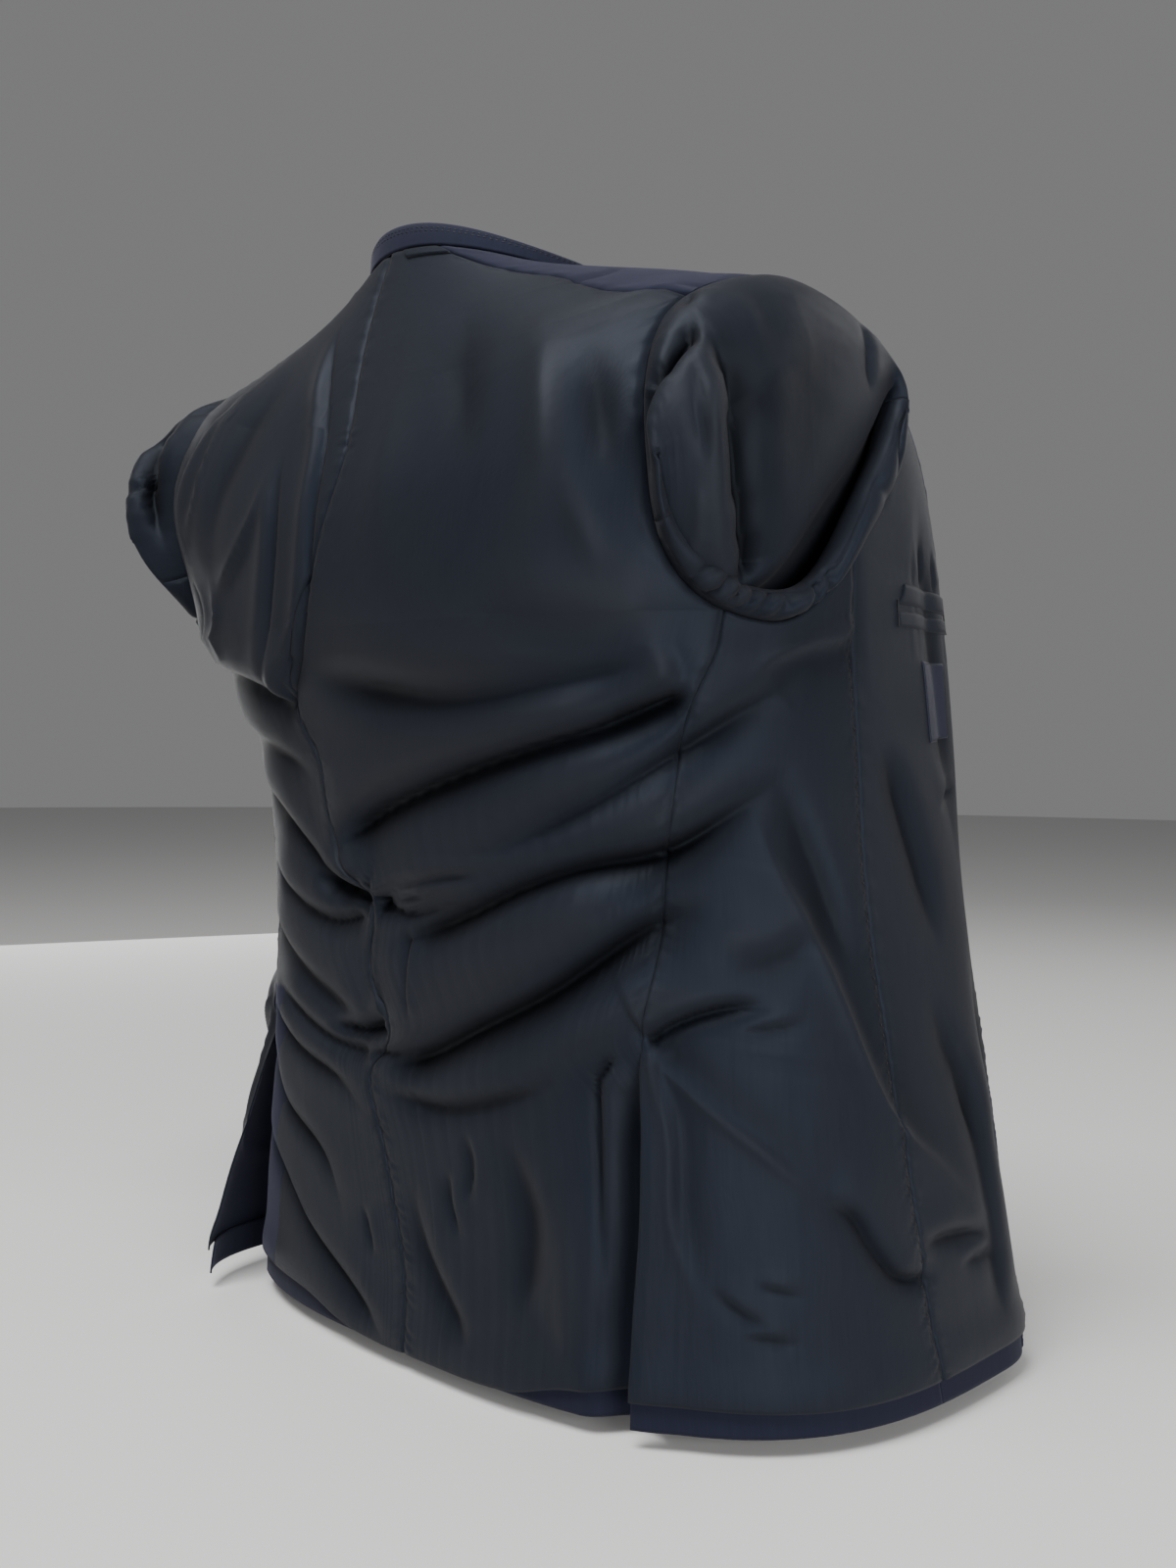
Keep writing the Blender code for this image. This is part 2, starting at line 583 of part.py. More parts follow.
def relaxed(points):
    """The ring's points eased towards their neighbours where the cloth folds in at the mouth."""
    for _ in range(RELAX_PASSES):
        around = (np.roll(points, 1, axis=1) + np.roll(points, -1, axis=1)) / 2
        along = points.copy()
        along[1:-1] = (points[:-2] + points[2:]) / 2
        eased = (2 * points + around + along) / 4
        points[RELAXED_ROWS] = eased[RELAXED_ROWS]
    return points


def nearest_column(angles, wanted):
    return min(range(len(angles)), key=lambda j: abs(angles[j] - wanted))


def narrowed(points):
    """A panel's points with its first and last columns moved in, to leave the seams."""
    points = points.copy()
    for edge, beside in ((0, 1), (-1, -2)):
        step = points[:, beside] - points[:, edge]
        points[:, edge] += step * SLEEVE_SEAM / np.linalg.norm(step, axis=1, keepdims=True)
    return points


def sleeve(side, word, finish):
    angles = sleeve_ring_angles() if side == RIGHT else sleeve_ring_angles()[::-1]
    middle = (ARMHOLE_TURN, ARMHOLE_DROP)
    edge = [shifted(armhole(angle), middle, SEAM) for angle in angles]
    outer = [[place(side * turn, drop, folded=0) for turn, drop in edge]]
    outer += [[sleeve_point(angle, row, side) for angle in angles] for row in SLEEVE_ROWS]
    outer = relaxed(np.array(outer))
    normals = normals_of(outer, closed=True)
    normals[0] = [outward(side * turn, drop) for turn, drop in edge]
    inner = outer - normals * WALL
    fore = nearest_column(angles, FOREARM_ANGLE)
    hind = nearest_column(angles, HINDARM_ANGLE)
    starts = (hind, fore) if side == RIGHT else (fore, hind)
    for panel_name, start, end in (("upper", *starts), ("under", *starts[::-1])):
        columns = [(start + j) % len(angles) for j in range((end - start) % len(angles) + 1)]
        outer_half, inner_half = narrowed(outer[:, columns]), narrowed(inner[:, columns])
        wall(f"sleeve_{panel_name}_{word}", outer_half, inner_half, finish)


# Collar: it stands up from the neck seam and its fall turns down inside.
CollarRow = namedtuple("CollarRow", "inward height_share fall_share")
COLLAR_PROFILE = (
    CollarRow(0.0000, 0.00, 0.0),
    CollarRow(0.0008, 0.50, 0.0),
    CollarRow(0.0020, 0.85, 0.0),
    CollarRow(0.0048, 1.00, 0.0),
    CollarRow(0.0076, 0.85, 0.0),
    CollarRow(0.0092, 1.00, 0.4),
    CollarRow(0.0102, 1.00, 0.7),
    CollarRow(0.0112, 1.00, 1.0),
)
COLLAR_COLUMNS = 26
COLLAR_GAP = 0.0010  # above the neck seam, whose panels are cut straighter than the collar


def collar(name, finish):
    outer = []
    for row in reversed(COLLAR_PROFILE):
        points = []
        for j in range(COLLAR_COLUMNS + 1):
            turn = mix(-COLLAR_END_TURN, COLLAR_END_TURN, j / COLLAR_COLUMNS)
            base = form(turn, 0)
            flat = np.array((base[0], base[1], 0)) / math.hypot(base[0], base[1])
            up = COLLAR_GAP + row.height_share * turn_of(COLLAR_HEIGHTS, turn) - row.fall_share * COLLAR_FALL
            points.append(base - flat * row.inward + np.array((0, 0, up)))
        outer.append(points)
    wall(name, outer, np.array(outer) - normals_of(outer, closed=False) * WALL, finish)


# Lapels: folded in along the front edge, they lie against the inside of the facing.
LAPEL_WIDTHS = ((0.050, 20), (0.085, 21), (0.130, 17), (0.200, 12.5), (0.300, 7), (0.400, 2.2))
LAPEL_DROPS = (0.055, 0.090, 0.130, 0.180, 0.240, 0.300, 0.350, 0.395)
LAPEL_GAP = 0.0040
LAPEL_INSET = 0.3  # turns from the front edge to the lapel's fold
LAPEL_ROLL = 4  # turns over which the lapel moves off the facing
LAPEL_COLUMNS = 4


def lapel(side, name, finish):
    grid = []
    for drop in LAPEL_DROPS:
        fold = turn_of(FRONT_EDGE, drop) - LAPEL_INSET
        tip = fold - turn_of(LAPEL_WIDTHS, drop)
        grid.append([(mix(tip, fold, j / LAPEL_COLUMNS), drop) for j in range(LAPEL_COLUMNS + 1)])

    def lie(turn, drop):
        return -LAPEL_GAP * ease((turn_of(FRONT_EDGE, drop) - turn) / LAPEL_ROLL)

    panel(name, grid, finish, side, lift=-WALL - SEAM, flare=lie)


# Small pieces on the lining, placed in rows and columns of the grid of the panel under them.
Patch = namedtuple("Patch", "name top bottom start end thickness")
PATCH_GAP = 0.0008
PATCHES_ON_FRONT = (
    Patch("pocket_welt_upper", 5.70, 5.97, 1.8, 7.3, 0.0010),
    Patch("pocket_welt_lower", 6.05, 6.38, 1.8, 7.3, 0.0010),
)
LABEL = Patch("label", 7.10, 9.40, 3.5, 6.2, 0.0006)
HANGER_LOOP = Patch("hanger_loop", 0.05, 0.62, 4.5, 11.8, 0.0014)


def stops(start, end):
    """The two ends and every whole number between them."""
    return [start, *range(math.floor(start) + 1, math.ceil(end)), end]


def on_face(points, row, column):
    """The point of a panel's outer face at a place between its rows and columns."""
    i, j = min(int(row), len(points) - 2), min(int(column), len(points[0]) - 2)
    down, across = row - i, column - j
    corner, far = points[i][j], points[i + 1][j + 1]
    if down > across:
        below = points[i + 1][j]
        return corner + (below - corner) * down + (far - below) * across
    beside = points[i][j + 1]
    return corner + (beside - corner) * across + (far - beside) * down


def patch(points, piece, finish):
    normals = normals_of(points, closed=False)
    rows, columns = stops(piece.top, piece.bottom), stops(piece.start, piece.end)

    def layer(lift):
        return [
            [on_face(points, r, c) + normals[round(r)][round(c)] * lift for c in columns] for r in rows
        ]

    wall(piece.name, layer(PATCH_GAP + piece.thickness), layer(PATCH_GAP), finish)


BUTTON_DROPS = (0.430, 0.535)
BUTTON_TURN_INSET = 5.0


def button(name, drop, finish):
    """A flat round button on the wool side of the left front, inside the body."""
    turn = -(turn_of(FRONT_EDGE, drop) - BUTTON_TURN_INSET)
    normal = outward(turn, drop)
    lift = relief(turn, drop) - WALL - 2 * SEAM - BUTTON_THICKNESS / 2
    bpy.ops.mesh.primitive_cylinder_add(
        vertices=24, radius=BUTTON_WIDTH / 2, depth=BUTTON_THICKNESS, location=(0, 0, 0)
    )
    made = bpy.context.object
    made.name = name
    made.location = form(turn, drop) + normal * lift
    made.rotation_mode = "QUATERNION"
    made.rotation_quaternion = Vector(normal.tolist()).to_track_quat("Z", "Y")
    made.data.materials.append(finish)
    bevel = made.modifiers.new("Rim", "BEVEL")
    bevel.width = BUTTON_RIM
    bevel.segments = 1


def build():
    for old in list(bpy.data.objects):
        bpy.data.objects.remove(old, do_unlink=True)
    lining = material("lining", LINING_COLOUR, 0.38)
    wool = material("wool", WOOL_COLOUR, 0.8)
    woven = material("label", LABEL_COLOUR, 0.6)
    horn = material("button", BUTTON_COLOUR, 0.35)
    for side, word in ((LEFT, "left"), (RIGHT, "right")):
        back = back_half(side, f"back_{word}", lining)
        side_panel(side, f"side_{word}", lining)
        front = front_lining(side, f"front_{word}", lining)
        facing(side, f"facing_{word}", wool)
        lapel(side, f"lapel_{word}", wool)
        hem_bands(side, word, wool)
        sleeve(side, word, lining)
    # The right panels are the last that were made; the small pieces lie on them.
    for piece in PATCHES_ON_FRONT:
        patch(front, piece, lining)
    patch(front, LABEL, woven)
    patch(back, HANGER_LOOP, lining)
    collar("collar", wool)
    for number, drop in enumerate(BUTTON_DROPS, 1):
        button(f"front_button_{number}", drop, horn)


build()
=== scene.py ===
import math
from collections import namedtuple

import bpy
import numpy as np
from mathutils import Matrix, Vector


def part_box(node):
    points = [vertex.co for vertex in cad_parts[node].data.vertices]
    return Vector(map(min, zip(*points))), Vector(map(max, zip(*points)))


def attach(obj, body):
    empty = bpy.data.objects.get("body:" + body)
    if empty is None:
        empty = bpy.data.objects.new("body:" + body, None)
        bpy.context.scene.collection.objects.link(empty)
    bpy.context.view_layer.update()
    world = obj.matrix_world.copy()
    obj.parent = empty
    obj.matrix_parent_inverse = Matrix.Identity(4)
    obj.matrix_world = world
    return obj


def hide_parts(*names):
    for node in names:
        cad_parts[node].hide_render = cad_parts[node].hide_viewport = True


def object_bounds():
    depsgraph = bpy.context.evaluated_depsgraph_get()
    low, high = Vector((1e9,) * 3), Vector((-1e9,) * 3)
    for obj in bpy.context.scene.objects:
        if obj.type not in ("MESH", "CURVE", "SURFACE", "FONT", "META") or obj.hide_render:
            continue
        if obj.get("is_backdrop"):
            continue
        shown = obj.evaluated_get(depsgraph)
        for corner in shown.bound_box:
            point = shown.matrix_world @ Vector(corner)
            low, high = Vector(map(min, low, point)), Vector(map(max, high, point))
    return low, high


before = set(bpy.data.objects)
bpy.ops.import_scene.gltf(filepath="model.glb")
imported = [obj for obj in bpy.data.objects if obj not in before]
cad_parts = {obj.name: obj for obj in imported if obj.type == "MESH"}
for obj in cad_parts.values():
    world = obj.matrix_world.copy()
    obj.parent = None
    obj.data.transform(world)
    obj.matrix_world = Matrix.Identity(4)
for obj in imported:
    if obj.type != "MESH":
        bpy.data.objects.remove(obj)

cad_low, cad_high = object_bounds()
bpy.ops.object.select_all(action="DESELECT")

# ------------------------------
# Back: two halves of lining on the wool back, joined down the centre back seam, which has an ease
# pleat beside it. Each is cut as one piece from the neck to the hem. Their places are given as a
# turn in degrees from the centre back, towards the wearer's right, and a drop below the neck seam.
RIGHT, LEFT = 1, -1
SIDES = ((LEFT, "left"), (RIGHT, "right"))
BACK_LENGTH = 0.735
LINING_HEM = 0.717

# The hanging jacket's cross-sections, from the neck to the hem.
Section = namedtuple("Section", "drop side_z front_z right left back widest front square")
SECTIONS = (
    Section(0.000, -0.016, -0.070, 0.088, 0.086, 0.080, 0.000, -0.085, 2.0),
    Section(0.035, -0.021, -0.090, 0.135, 0.138, 0.092, -0.012, -0.115, 2.1),
    Section(0.080, -0.031, -0.115, 0.192, 0.208, 0.108, -0.030, -0.155, 2.5),
    Section(0.125, -0.046, -0.150, 0.238, 0.280, 0.122, -0.045, -0.190, 2.9),
    Section(0.180, -0.115, -0.190, 0.264, 0.322, 0.132, -0.075, -0.222, 3.0),
    Section(0.250, -0.245, -0.250, 0.264, 0.292, 0.126, -0.120, -0.252, 2.8),
    Section(0.330, -0.330, -0.330, 0.264, 0.252, 0.100, -0.140, -0.266, 2.8),
    Section(0.430, -0.430, -0.430, 0.270, 0.246, 0.084, -0.150, -0.272, 2.9),
    Section(0.540, -0.540, -0.540, 0.284, 0.262, 0.076, -0.160, -0.280, 3.0),
    Section(0.640, -0.640, -0.640, 0.297, 0.280, 0.072, -0.172, -0.288, 3.0),
    Section(BACK_LENGTH, -BACK_LENGTH, -BACK_LENGTH, 0.306, 0.294, 0.070, -0.182, -0.296, 3.0),
)

# Seams as (drop, turn) rows; a side's seams take the same sign as the side.
CENTRE_SEAM = (
    (0.000, -8), (0.080, -2), (0.135, 0), (0.200, -4), (0.250, -10), (0.300, -16), (0.340, -13),
    (0.400, -11), (0.432, -5), (0.478, -6), (0.515, -1), (0.550, -7), (0.600, -4), (0.680, 0),
    (BACK_LENGTH, 0),
)
YOKE_EDGE = ((0.000, 20), (0.012, 32), (0.030, 42), (0.050, 50), (0.075, 51), (0.095, 54), (0.112, 62))
UPPER_SIDE_BACK_SEAM = (
    (0.240, 56), (0.264, 54), (0.300, 49), (0.340, 46), (0.390, 43.5), (0.430, 42),
)
SIDE_BACK_SEAMS = {
    RIGHT: (
        *UPPER_SIDE_BACK_SEAM,
        (0.500, 38), (0.560, 37), (0.610, 36), (0.670, 34.5), (BACK_LENGTH, 33.5),
    ),
    LEFT: (
        *UPPER_SIDE_BACK_SEAM,
        (0.500, 40), (0.560, 40), (0.610, 40), (0.670, 39.5), (BACK_LENGTH, 39),
    ),
}
SKIRT_TOP = 0.264
SHOULDER_DROP = 0.105
CENTRE_SLANT = 0.075

# The armhole is an egg, lowest towards the back. Angle 0 is its front and 90 its lowest part.
ARMHOLE_TURN, ARMHOLE_DROP = 75, 0.180
ARMHOLE_HALF_TURN, ARMHOLE_HALF_DROP = 28, 0.066
ARMHOLE_LEAN, ARMHOLE_SQUARE, ARMHOLE_BACK_SQUARE = 0.030, 0.8, 0.62
ARMHOLE_FRONT_RISE = 0.018
RISE_FROM, RISE_UNTIL, RISE_RUN = -5, 120, 45
YOKE_ANGLE, FACING_ANGLE = 247, 318

# Creases: a trough (or ridge) of a depth and half width along a path of (turn, drop) points, with
# the cloth bellying out by belly, at reach from the crease, on the left hand of the path. A sharp
# power near 1 gives a narrow bottom. It fades out over shares of its length at its two ends. A row
# has depth, width, belly and reach in millimetres, sharp, the two fades, and the path.
Crease = namedtuple("Crease", "depth width belly reach sharp fades path")
MM = 1000


def crease_table(unit, rows):
    """Creases in metres, from rows in millimetres; a path's second column is divided by unit."""
    made = []
    for *sizes, sharp, fade_in, fade_out, path in rows:
        sizes = [size / MM for size in sizes]
        made.append(Crease(*sizes, sharp, (fade_in, fade_out), [(at, value / unit) for at, value in path]))
    return made


CREASES = crease_table(MM, (
    # from the centre back up to the right underarm
    (-9, 15, 6, 24, 1.6, 0.3, 0.15, ((-12, 278), (5, 292), (18, 297), (32, 288), (48, 272))),
    (-5, 16, 4, 22, 1.6, 0.4, 0.3, ((22, 252), (34, 259), (44, 263), (52, 262))),
    (-14, 9, 10, 20, 1, 0.15, 0.05, (
        (-13, 402), (-6, 380), (1, 366), (15, 345), (30, 325), (39, 313), (50, 291),
    )),
    (-8, 11, 5, 18, 1.3, 0.4, 0.3, ((8, 393), (20, 391), (34, 362), (45, 333), (57, 300), (68, 275))),
    (-13, 11, 8, 22, 1, 0.2, 0.3, (
        (-2, 462), (7, 447), (15, 432), (23, 415), (32, 400), (44, 386), (53, 362), (62, 335),
    )),
    (-6, 3.6, 3, 6, 1.2, 0.05, 0.5, ((-4, 430), (3, 417), (10, 410), (17, 405), (24, 398))),
    (-6, 3.2, 3, 6, 1.2, 0.05, 0.5, ((-4, 430), (3, 425), (10, 420), (17, 414))),
    (-8, 4.5, 3, 7, 1.1, 0.05, 0.5, ((-4, 431), (3, 435), (10, 428), (18, 420))),
    # the dark wedge left of the knot, and the flat strip below it
    (-12, 6, 5, 10, 1.1, 0.4, 0.05, ((-20, 417), (-12, 423), (-5, 430))),
    (-2.5, 2.5, 2, 4, 1.2, 0.2, 0.2, ((3, 445), (3, 480), (4, 505))),
    (-10, 5.5, 4, 10, 1.1, 0.4, 0.05, ((-17, 520), (-9, 520), (-2, 512))),
    (-13, 12, 9, 24, 1.05, 0.15, 0.3, ((-4, 545), (4, 532), (14, 508), (26, 478), (38, 440), (50, 410))),
    (5, 12, 0, 10, 1.7, 0.5, 0.5, ((20, 535), (27, 512), (38, 478), (46, 450))),
    (-6, 7, 3, 12, 1.15, 0.3, 0.4, ((-6, 560), (8, 562), (20, 545), (30, 522))),
    (-4, 3, 2, 5, 1.05, 0.1, 0.6, ((-7, 535), (0, 530), (8, 520))),
    # from the left underarm to the centre back, the cloth above hanging over it
    (-9, 9, 9, 20, 1, 0.3, 0.1, ((-52, 262), (-40, 272), (-30, 281), (-21, 293), (-15, 302))),
    (-5, 10, 4, 16, 1.3, 0.3, 0.3, ((-48, 312), (-36, 322), (-25, 334), (-14, 350))),
    (-8, 9, 5, 18, 1.05, 0.3, 0.1, ((-44, 352), (-30, 376), (-18, 408), (-8, 430))),
    (-7, 7, 4, 14, 1.05, 0.3, 0.1, ((-40, 410), (-28, 436), (-16, 448), (-6, 440))),
    (-6, 9, 4, 16, 1.3, 0.3, 0.2, ((-44, 450), (-30, 478), (-18, 500), (-6, 515))),
    (-6, 6, 3, 12, 1.15, 0.3, 0.1, ((-36, 500), (-24, 522), (-14, 534), (-6, 535))),
    # the ease pleat beside the centre back seam
    (-3, 3.6, 4.5, 7, 1.1, 0.1, 0.2, (
        (-17, 306), (-16, 295), (-9, 255), (-5, 200), (-5, 128), (-11, 80), (-18, 43),
    )),
    (-4, 4, 3, 7, 1.1, 0.2, 0.2, ((-17, 305), (-15, 280), (-10, 260))),
    (-3, 4, 4, 9, 1.1, 0.3, 0.3, ((-20, 290), (-15, 240), (-12, 190), (-13, 130))),
    # long ridges from the left shoulder to the left underarm
    (4, 6, 3, 12, 1.1, 0.3, 0.4, ((-43, 62), (-35, 82), (-31, 110), (-30, 145), (-31, 180), (-37, 215))),
    (-4, 6, 3, 12, 1.1, 0.3, 0.3, ((-40, 95), (-37, 130), (-38, 175), (-42, 210))),
    (5, 5, 0, 10, 1.1, 0.4, 0.2, ((-29, 215), (-28, 238), (-34, 260))),
    (2.2, 3, 0, 10, 1, 0.3, 0.2, ((-43, 66), (-36, 85), (-32, 115), (-30, 155), (-31, 178), (-37, 203))),
    (-3.5, 4, 2, 6, 1.1, 0.4, 0.3, ((-37, 212), (-34, 235), (-41, 256))),
    (3, 6, -2, 10, 1.2, 0.5, 0.3, ((-15, 140), (-16, 173), (-21, 203), (-28, 226))),
    # the slack cloth below the right armhole, a broad shallow trough there mostly to paint shade below the
    # armhole through the trough shading, and the hollow of the waist
    (-4.5, 26, 0, 10, 1.8, 0.4, 0.4, ((49, 262), (46, 285), (41, 305), (34, 320))),
    (-3, 30, 0, 10, 1.8, 0.4, 0.4, ((8, 340), (22, 365), (36, 385), (42, 440), (36, 500))),
    # upper back, between the neck and the right armhole
    (6, 15, 0, 10, 1.7, 0.4, 0.5, ((38, 80), (36, 140), (35, 185), (32, 212), (27, 240))),
    (-6, 14, 0, 10, 1.7, 0.5, 0.5, ((42, 120), (42, 160), (41, 205))),
    (4, 8, 0, 10, 1.7, 0.5, 0.5, ((37, 180), (38, 200), (41, 235))),
    (-4, 18, 0, 10, 1.7, 0.5, 0.5, ((26, 50), (24, 110), (24, 190))),
    (4, 22, 0, 10, 1.7, 0.5, 0.5, ((10, 70), (10, 150), (6, 240))),
    # the shoulder seams, as they show on the facings
    (-3.4, 2.6, 0, 10, 1.3, 0.1, 0.3, (
        (49.5, 62.5), (52, 62.5), (55, 62.5), (58, 61.5), (61, 58.5), (64, 54), (68, 46),
    )),
    (-3.4, 2.6, 0, 10, 1.3, 0.1, 0.3, (
        (-49.5, 62.5), (-52, 62.5), (-55, 62.5), (-58, 61.5), (-61, 58.5), (-64, 54), (-68, 46),
    )),
    # upper back, left
    (-4, 14, 0, 10, 1.7, 0.5, 0.5, ((-24, 60), (-24, 140), (-28, 230))),
    (5, 12, 0, 10, 1.7, 0.5, 0.5, ((-33, 80), (-34, 150), (-36, 235))),
    (-5, 8, 0, 10, 1.3, 0.5, 0.5, ((-40, 115), (-40, 170), (-43, 230))),
    # back skirt
    (-7, 8, 4, 14, 1.05, 0.2, 0.4, ((-42, 520), (-36, 560), (-30, 592), (-19, 618), (-12, 660))),
    (-6, 7, 4, 12, 1.05, 0.2, 0.4, ((-41, 512), (-27, 545), (-15, 560), (-7, 582))),
    (-7, 8, 4, 14, 1.05, 0.2, 0.2, ((-42, 612), (-30, 645), (-22, 676), (-12, 704), (-3, 732))),
    (-4, 4, 2, 6, 1.05, 0.4, 0.4, ((12, 572), (13, 595), (12, 622))),
    (-4, 4, 2, 6, 1.05, 0.4, 0.4, ((9, 598), (9, 622), (11, 648))),
    (-3, 4, 2, 6, 1.05, 0.4, 0.4, ((-9, 640), (-6, 678))),
    (-7, 4.5, 4, 8, 1, 0.1, 0.7, ((35, 506), (33, 520), (32, 530), (31.5, 565), (31, 615), (31, 675))),
    (-5, 12, 3, 18, 1.7, 0.5, 0.3, ((18, 560), (22, 620), (20, 690))),
    (-5, 9, 3, 14, 1.3, 0.5, 0.2, ((2, 610), (4, 660), (12, 715))),
    (4, 10, 0, 10, 1.7, 0.5, 0.3, ((27, 590), (27, 640), (26, 715))),
    # right side panel, fanning from the top of the vent
    (-9, 5.5, 5, 12, 1, 0.05, 0.5, ((38.5, 501), (43, 488), (49, 480), (56, 478))),
    (-3, 4, 2, 6, 1.05, 0.4, 0.5, ((49, 494), (54, 492), (60, 488))),
    (4, 6, -3, 10, 1, 0.05, 0.5, ((38.5, 506), (44, 534), (50, 561), (56, 588), (62, 606))),
    (3, 5, -3, 8, 1, 0.05, 0.5, ((38.5, 508), (40, 555), (39.5, 603), (41, 645), (43, 665))),
    (-3, 4, 2, 6, 1.15, 0.4, 0.5, ((43, 643), (46, 660), (50, 670))),
    (-2, 3, 2, 5, 1.15, 0.4, 0.5, ((48, 643), (54, 652))),
    (-3, 4, 2, 6, 1.15, 0.5, 0.5, ((46, 674), (53, 679))),
    (3, 6, -3, 12, 1.2, 0.3, 0.3, (
        (53, 340), (57, 393), (63, 453), (69, 530), (74, 565), (81, 590), (90, 625),
    )),
    # the soft ridge slanting down and back from the underarm
    (4, 6, -3, 12, 1.3, 0.2, 0.4, ((79, 250), (73, 256), (66, 262), (60, 272), (56, 290))),
    (-4, 12, 3, 16, 1.7, 0.4, 0.4, ((58, 330), (64, 400), (69, 470))),
    (3.5, 14, 0, 10, 1.7, 0.4, 0.4, ((46, 420), (54, 440), (64, 420))),
    (-4, 14, 0, 10, 1.7, 0.4, 0.4, ((42, 470), (52, 458), (66, 430))),
    # across the side-front seam
    (-7, 6, 4, 12, 1, 0.3, 0.3, ((57, 595), (62, 607), (65, 630), (69, 650), (77, 656))),
    (-5, 6, 3, 10, 1.15, 0.4, 0.4, ((72, 634), (80, 634), (90, 640), (97, 654))),
    (-3, 5, 2, 8, 1.15, 0.4, 0.4, ((82, 655), (92, 655), (99, 664))),
    (-6, 11, 3, 16, 1.3, 0.3, 0.4, ((79, 320), (82, 345), (85, 378), (88, 415), (90, 460))),
    # small gathers above and below the inner pocket
    (-1.8, 2.6, 1, 4, 1.2, 0.5, 0.1, ((92, 214), (92, 233))),
    (-1.4, 2.4, 1, 4, 1.2, 0.5, 0.1, ((98, 219), (97, 233))),
    (-1.8, 2.6, 1, 4, 1.2, 0.5, 0.1, ((104, 216), (104, 233))),
    (-1.4, 2.4, 1, 4, 1.2, 0.5, 0.1, ((111, 218), (111, 233))),
    (-1.8, 2.6, 1, 4, 1.2, 0.1, 0.5, ((91, 252), (91, 266))),
    (-1.4, 2.4, 1, 4, 1.2, 0.1, 0.5, ((101, 252), (101, 262))),
    (-1.6, 2.4, 1, 4, 1.2, 0.1, 0.5, ((114, 252), (115, 268))),
    (-3, 5, 2, 8, 1.15, 0.4, 0.4, ((98, 366), (106, 356), (116, 350))),
    (-5, 10, 3, 16, 1.3, 0.4, 0.4, ((84, 480), (90, 530), (100, 580), (108, 600))),
    (-6, 15, 3, 20, 1.7, 0.4, 0.4, ((104, 200), (108, 300), (110, 420))),
    (-6, 16, 3, 20, 1.7, 0.4, 0.2, ((114, 440), (116, 560), (120, 700))),
    (-4, 10, 2, 15, 1.7, 0.4, 0.2, ((94, 500), (97, 600), (96, 705))),
    # left side panel and front, which are out of the photograph
    (-6, 8, 5, 16, 1, 0.2, 0.4, ((-40, 505), (-48, 492), (-58, 488))),
    (4, 6, -3, 10, 1, 0.1, 0.5, ((-41, 515), (-47, 550), (-55, 590), (-62, 612))),
    (3, 5, -3, 8, 1, 0.1, 0.5, ((-41, 520), (-43, 570), (-44, 630), (-48, 670))),
    (-6, 10, 4, 16, 1.15, 0.3, 0.3, ((-52, 320), (-62, 380), (-72, 470), (-84, 560), (-94, 600))),
    (-5, 9, 3, 14, 1.3, 0.3, 0.3, ((-76, 300), (-86, 360), (-94, 430))),
    (-6, 7, 4, 12, 1.05, 0.3, 0.3, ((-60, 610), (-68, 628), (-80, 640), (-92, 652))),
    (-6, 16, 3, 20, 1.7, 0.4, 0.3, ((-108, 220), (-112, 400), (-114, 640))),
    (-5, 12, 3, 18, 1.7, 0.4, 0.2, ((-98, 440), (-102, 560), (-104, 700))),
    (-4, 5, 2, 8, 1.15, 0.4, 0.4, ((-46, 640), (-52, 658), (-60, 662))),
))
CALM_ARMHOLE, CALM_NECK = 0.16, 0.05
SWELL_PEAK, CREASE_SPREAD = 1.7, 4
NEAR_TURN, NEAR_DROP = 0.8, 0.004
PATH_STEPS, HALVINGS = 9, 40


def curve(rows, at):
    """A smooth curve through rows whose first column is at; it gives the other columns."""
    rows, at = np.asarray(rows, float), np.asarray(at, float)
    knots, values = rows[:, 0], rows[:, 1:]
    at = np.clip(at, knots[0], knots[-1])
    i = np.clip(np.searchsorted(knots, at) - 1, 0, len(knots) - 2)
    before = np.maximum(np.arange(len(knots)) - 1, 0)
    after = np.minimum(np.arange(len(knots)) + 1, len(knots) - 1)
    slopes = (values[after] - values[before]) / (knots[after] - knots[before])[:, None]
    span = (knots[i + 1] - knots[i])[..., None]
    t = (at - knots[i])[..., None] / span
    start = values[i] * (2 * t**3 - 3 * t**2 + 1) + slopes[i] * span * (t**3 - 2 * t**2 + t)
    end = values[i + 1] * (3 * t**2 - 2 * t**3) + slopes[i + 1] * span * (t**3 - t**2)
    return start + end


def read(rows, at):
    """The second column of rows, read at places along their first."""
    return curve(rows, at)[..., 0]


def ease(value):
    value = np.clip(value, 0, 1)
    return value * value * (3 - 2 * value)


def form(turn, drop):
    """Points of the smooth body, without folds."""
    turn, drop = np.broadcast_arrays(np.asarray(turn, float), np.asarray(drop, float))
    side_z, front_z, right, left, back, widest, front, square = np.moveaxis(curve(SECTIONS, drop), -1, 0)
    angle = np.radians(turn)
    across, along = np.sin(angle), np.cos(angle)
    reach = (np.abs(across) ** square + np.abs(along) ** square) ** (-1 / square)
    x = -across * reach * np.where(across > 0, right, left)
    y = widest + along * reach * np.where(along > 0, back - widest, widest - front)
    end_z = np.where(along > 0, -drop, front_z)
    return np.stack((x, y, end_z + (side_z - end_z) * across**2), axis=-1)


def outward(turn, drop):
    around = form(turn + NEAR_TURN, drop) - form(turn - NEAR_TURN, drop)
    down = form(turn, drop + NEAR_DROP) - form(turn, np.maximum(drop - NEAR_DROP, 0))
    normal = np.cross(down, around)
    return normal / np.linalg.norm(normal, axis=-1, keepdims=True)


